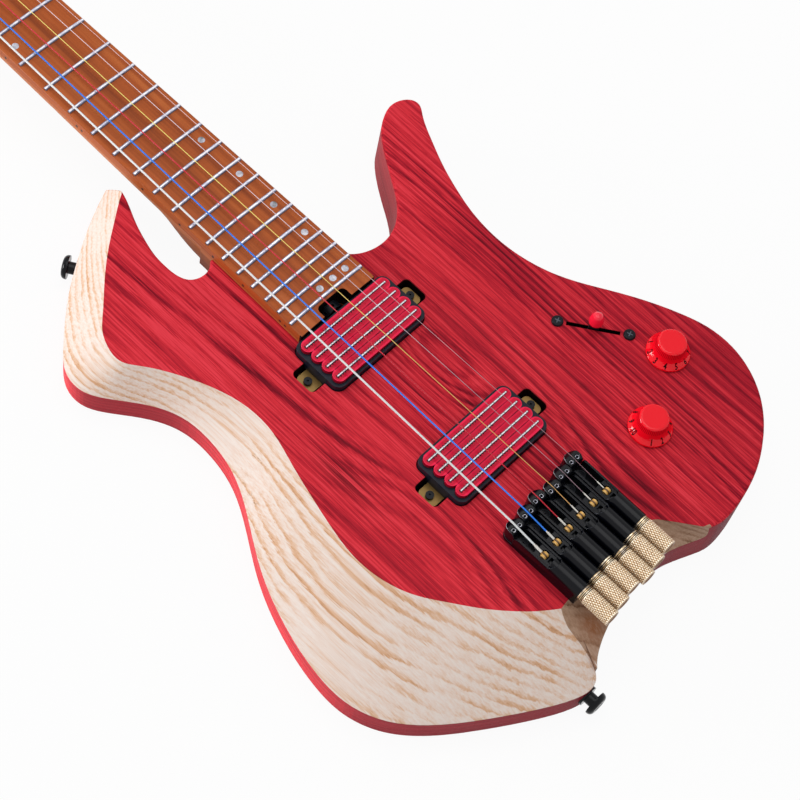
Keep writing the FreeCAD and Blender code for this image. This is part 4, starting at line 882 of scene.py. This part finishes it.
def add_tuner_knob(number):
    """Knurled knob with two rounded rims, a ringed collar and the end of its screw."""
    node = "tuner_knob_%d" % number
    body = "tuner_%d" % number
    rows = int(grip_length / knurl_pitch * knurl_samples)
    corner = grip_rim / 3
    profile = [(grip_radius - 1.3, 0.05), (grip_radius - grip_rim, 0.0),
               (grip_radius - corner, corner)]
    first = len(profile)
    profile += [(grip_radius, grip_rim + (grip_length - 2 * grip_rim) * row / rows)
                for row in range(rows + 1)]
    last = len(profile) - 1
    profile += [(grip_radius - corner, grip_length - corner), (grip_radius - grip_rim, grip_length),
                (grip_radius - 1.5, grip_length), (grip_radius - 1.8, grip_length - 0.4),
                (0.5, grip_length - 0.4)]

    def ripple(row, angle):
        if row <= first or row >= last:
            return 0.0
        turn = knurl_around * angle
        rise = math.pi * profile[row][1] / knurl_pitch
        ridge = abs(math.sin((turn + rise) / 2)) * abs(math.sin((turn - rise) / 2))
        return -knurl_depth * (1 - ridge)

    grip = add_turned(node + "_grip", node, profile, knurl_around * 2 * knurl_samples, "grip",
                      body, ripple, collar_length, grip_radius, knurl_depth)
    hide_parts(node)
    rings = [(collar_hole, -0.2), (collar_radius - 0.5, -0.2), (collar_radius - 0.1, 0.0),
             (collar_radius, 0.2)]
    for groove in collar_grooves:
        floor = collar_radius - groove_depth
        rings += [(collar_radius, groove), (floor, groove + 0.12), (floor, groove + 0.38),
                  (collar_radius, groove + 0.5)]
    rings += [(collar_radius, 2.7), (collar_radius - 0.35, 2.85), (collar_radius - 0.35, 3.1),
              (collar_hole, 3.1)]
    add_turned(node + "_collar", node, rings, collar_steps, "collar", body, outer=collar_radius,
               depth=0.3)
    add_turned(node + "_screw", node, tuner_screw, tuner_screw_steps, "steel", body)


# Corners of a solid's mesh closer than this are one corner
weld_distance = 0.001 * MM


def islands(node):
    """Lowest and highest corner of each separate solid in a node."""
    mesh = parts[node].data
    work = bmesh.new()
    work.from_mesh(mesh)
    bmesh.ops.remove_doubles(work, verts=work.verts, dist=weld_distance)
    seen = set()
    found = []
    for start in work.verts:
        if start in seen:
            continue
        group, waiting = [], [start]
        seen.add(start)
        while waiting:
            vertex = waiting.pop()
            group.append(vertex.co.copy())
            for link in vertex.link_edges:
                other = link.other_vert(vertex)
                if other not in seen:
                    seen.add(other)
                    waiting.append(other)
        low = Vector([min(p[k] for p in group) for k in range(3)])
        high = Vector([max(p[k] for p in group) for k in range(3)])
        found.append((low, high))
    work.free()
    return found


# Small painted highlights on the screws, a bright ring and a light cross, in millimetres
rim_radius = 1.0
rim_thickness = 0.17
rim_flatness = 0.6
rim_steps = 32
rim_sides = 8
cross_size = 3.4
cross_width = 0.6
cross_turn = math.radians(20)
cross_layers = (0.01, 0.05)


def add_screw_rims():
    """Bright ring on each saddle height screw, a painted highlight."""
    steps, sides = rim_steps, rim_sides
    vertices, faces = [], []
    for low, high in islands("saddle_screws"):
        middle = (low + high) / 2
        top = Vector((middle.x, middle.y, high.z))
        start = len(vertices)
        for step in range(steps):
            angle = FULL_TURN * step / steps
            for side in range(sides):
                tilt = FULL_TURN * side / sides
                reach = rim_radius + rim_thickness * math.cos(tilt)
                height = rim_thickness * rim_flatness * math.sin(tilt)
                ring = Vector((reach * math.cos(angle), reach * math.sin(angle), height)) * MM
                vertices.append(top + ring)
        for step in range(steps):
            after = (step + 1) % steps
            for side in range(sides):
                turn = (side + 1) % sides
                faces.append((start + step * sides + side, start + after * sides + side,
                              start + after * sides + turn, start + step * sides + turn))
    add_piece("saddle_screw_rim_highlights", vertices, faces, finishes["fret"], "guitar")


def add_crosses(node):
    """Light grey cross recess on each screw head of a node, a painted highlight."""
    vertices, faces = [], []
    half, arm = cross_size / 2, cross_width / 2
    outline = [(half, arm), (arm, arm), (arm, half), (-arm, half), (-arm, arm), (-half, arm),
               (-half, -arm), (-arm, -arm), (-arm, -half), (arm, -half), (arm, -arm), (half, -arm)]
    turned = Matrix.Rotation(cross_turn, 3, "Z")
    for low, high in islands(node):
        middle = (low + high) / 2
        top = Vector((middle.x, middle.y, high.z))
        start = len(vertices)
        for layer in cross_layers:
            vertices += [top + turned @ Vector((x, y, layer)) * MM for x, y in outline]
        count = len(outline)
        faces.append([start + count + step for step in range(count)])
        for step in range(count):
            after = (step + 1) % count
            faces.append([start + step, start + after, start + count + after, start + count + step])
    add_piece(node + "_cross_highlights", vertices, faces, finishes["cross"], "guitar",
              smooth=False)


def dress(node, material):
    mesh = parts[node].data
    mesh.materials.clear()
    mesh.materials.append(material)


# Finishes, and the nodes that carry each
finishes = {
    "ash": ash_paint(),
    "neck": maple_paint("neck_maple", tone(216, 138, 90), tone(196, 112, 62), tone(150, 76, 38)),
    "board": maple_paint("board_maple", tone(204, 114, 60), tone(180, 90, 42), tone(126, 56, 28)),
    "fret": fret_paint(),
    # The edge colours in these finishes are painted highlights.
    "black_plastic": metal_paint("black_plastic", tone(25, 28, 40), 0.36, 0.0, specular=0.14,
                                 edge_highlight=tone(72, 76, 90)),
    "black_metal": metal_paint("black_gloss", tone(5, 6, 12), 0.16, 0.0, edge=gloss_edge,
                               specular=0.17, edge_highlight=tone(84, 88, 100), width=fine_edge_highlight_width),
    "saddle": saddle_paint(),
    "black_screw": metal_paint("black_oxide", tone(20, 22, 28), 0.3, 0.0, specular=0.12,
                               edge_highlight=tone(74, 80, 92)),
    # Painted highlight: the light grey of the screws' cross recesses.
    "cross": metal_paint("cross_recess_highlight", tone(92, 98, 108), 0.4, 0.0, specular=0.1),
    "steel": metal_paint("plain_steel", tone(190, 190, 194), 0.32),
    "blade": blade_paint(),
    "bobbin": bobbin_paint(),
    "magnet": metal_paint("magnet_iron", tone(96, 96, 100), 0.5),
    "brass": metal_paint("brass_plate", tone(128, 100, 50), 0.42, 0.6, edge_highlight=tone(186, 150, 88)),
    "champagne": metal_paint("champagne_anodised", tone(214, 188, 148), 0.34),
    "grip": grip_paint(),
    "pot": metal_paint("pot_metal", tone(180, 176, 166), 0.4),
    "knob": knob_paint(),
    "tip": metal_paint("tip_red", tone(255, 30, 62), 0.12, 0.0, specular=0.36),
    "pearl": pearl_paint(),
    "coil": coil_paint(),
    "side_dot": metal_paint("side_dot_black", tone(26, 18, 16), 0.5, 0.0),
    "collar": collar_paint(),
    "print": metal_paint("numeral_black", tone(14, 6, 8), 0.5, 0.0, specular=0.06),
}
carried = {
    "ash": ["body"],
    "neck": ["neck"],
    "board": ["fretboard"],
    "fret": ["frets"],
    "black_plastic": ["nut", "neck_pickup_case", "bridge_pickup_case", "control_cover"],
    "black_metal": ["headpiece", "bridge_housings", "neck_ferrules", "strap_buttons", "output_jack",
                    "selector_frame"] + ["carriage_%d" % number for number in range(1, 7)],
    "black_screw": ["clamp_screws", "truss_wheel", "neck_bolts", "pickup_screws", "saddle_screws",
                    "mounting_screws", "selector_screws", "selector_lever", "cover_screws",
                    "strap_screws"],
    "saddle": ["saddles"],
    "steel": ["string_clamps", "truss_rod"],
    "blade": ["pickup_blades"],
    "bobbin": ["neck_pickup_bobbins", "bridge_pickup_bobbins"],
    "magnet": ["pickup_magnets"],
    "brass": ["pickup_baseplates"],
    "champagne": ["tuner_knob_%d" % number for number in range(1, 7)],
    "pot": ["potentiometers", "panel_nuts", "volume_shaft", "tone_shaft"],
    "knob": ["volume_knob", "tone_knob"],
    "tip": ["selector_tip"],
    "pearl": ["fret_dots"],
    "coil": ["pickup_coils"],
    "side_dot": ["side_dots"],
}
string_colors = {1: tone(252, 226, 232), 2: tone(250, 232, 240), 3: tone(255, 236, 128),
                 4: tone(226, 34, 60), 5: tone(40, 132, 250), 6: tone(248, 251, 252)}
# String colours near the bridge, darkened as painted shade
shaded_string_colors = {1: tone(176, 134, 142), 2: tone(160, 128, 140), 3: tone(222, 166, 96),
               4: tone(206, 26, 48), 5: tone(40, 132, 250), 6: tone(236, 240, 240)}


def dress_parts():
    for finish, nodes in carried.items():
        for node in nodes:
            dress(node, finishes[finish])
    for number, color in string_colors.items():
        node = "string_%d" % number
        low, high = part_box("carriage_%d" % number)
        paint = string_paint("string_color_%d" % number, color, shaded_string_colors[number],
                             number >= first_wound, (low.x + high.x) / 2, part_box(node)[0].y)
        dress(node, paint)


# Surround: the floor's half width and drop in metres, and how much of it is plain white
floor_reach = 4.0
floor_drop = 0.3 * MM
floor_white = 0.94
ambient_strength = 0.48
picture_strength = 1.0

# Softboxes: place, target, width and height in metres, and power in watts
softboxes = {
    "top_softbox": ((0.15, 0.5, 1.7), (0, 0.1, 0), 1.4, 1.2, 10.0),
    "side_softbox": ((-1.25, 1.58, 0.4), (0, 0.0, 0.05), 0.7, 0.6, 20.0),
}


def add_floor():
    """Pale floor that stays white for the camera and in reflections and still takes the shadow."""
    mesh = bpy.data.meshes.new("floor")
    reach, low = floor_reach, -floor_drop
    corners = [(-reach, -reach, low), (reach, -reach, low), (reach, reach, low),
               (-reach, reach, low)]
    mesh.from_pydata(corners, [], [(0, 1, 2, 3)])
    floor = bpy.data.objects.new("floor", mesh)
    bpy.context.scene.collection.objects.link(floor)
    paint = Paint("floor_white", tone(236, 236, 236), 0.9)
    glow = paint.add("Emission", {"Color": (1, 1, 1, 1), "Strength": 1.0})
    share = both(paint, white_rays(paint), floor_white)
    blend = paint.add("MixShader", {0: share, 1: paint.shader.outputs[0], 2: glow})
    paint.put(paint.output.inputs["Surface"], blend)
    mesh.materials.append(paint.material)


def white_rays(paint):
    """1 for the rays that should see a plain white surrounding."""
    node = paint.tree.nodes.new("ShaderNodeLightPath")
    return either(paint, node.outputs["Is Camera Ray"], node.outputs["Is Glossy Ray"],
                  node.outputs["Is Transmission Ray"])


def add_world():
    """White surround, dimmer as a lamp than as a picture."""
    world = bpy.data.worlds.new("world")
    world.use_nodes = True
    tree = world.node_tree
    tree.nodes.clear()
    output = tree.nodes.new("ShaderNodeOutputWorld")
    path = tree.nodes.new("ShaderNodeLightPath")
    ambient = tree.nodes.new("ShaderNodeBackground")
    ambient.inputs["Strength"].default_value = ambient_strength
    picture = tree.nodes.new("ShaderNodeBackground")
    picture.inputs["Strength"].default_value = picture_strength
    for background in (ambient, picture):
        background.inputs["Color"].default_value = (1, 1, 1, 1)
    first = tree.nodes.new("ShaderNodeMath")
    first.operation = "MAXIMUM"
    second = tree.nodes.new("ShaderNodeMath")
    second.operation = "MAXIMUM"
    mixer = tree.nodes.new("ShaderNodeMixShader")
    tree.links.new(path.outputs["Is Camera Ray"], first.inputs[0])
    tree.links.new(path.outputs["Is Glossy Ray"], first.inputs[1])
    tree.links.new(first.outputs[0], second.inputs[0])
    tree.links.new(path.outputs["Is Transmission Ray"], second.inputs[1])
    tree.links.new(second.outputs[0], mixer.inputs[0])
    tree.links.new(ambient.outputs[0], mixer.inputs[1])
    tree.links.new(picture.outputs[0], mixer.inputs[2])
    tree.links.new(mixer.outputs[0], output.inputs["Surface"])
    bpy.context.scene.world = world


def add_softbox(name, place, target, width, height, power):
    data = bpy.data.lights.new(name, "AREA")
    data.shape = "RECTANGLE"
    data.size = width
    data.size_y = height
    data.energy = power
    lamp = bpy.data.objects.new(name, data)
    way = Vector(target) - Vector(place)
    turn = way.to_track_quat("-Z", "Y").to_matrix().to_4x4()
    lamp.matrix_world = Matrix.Translation(place) @ turn
    bpy.context.scene.collection.objects.link(lamp)


def add_lights():
    for name, settings in softboxes.items():
        add_softbox(name, *settings)


def main():
    add_camera()
    add_world()
    add_lights()
    add_floor()
    dress_parts()
    add_knob("volume_knob", "volume_control")
    add_knob("tone_knob", "tone_control")
    add_numerals("volume_knob", "volume_control", volume_first_angle)
    add_numerals("tone_knob", "tone_control", tone_first_angle)
    for number in range(1, 7):
        add_tuner_knob(number)
    add_screw_rims()
    add_crosses("selector_screws")
    bpy.context.scene.view_settings.view_transform = "Standard"


main()
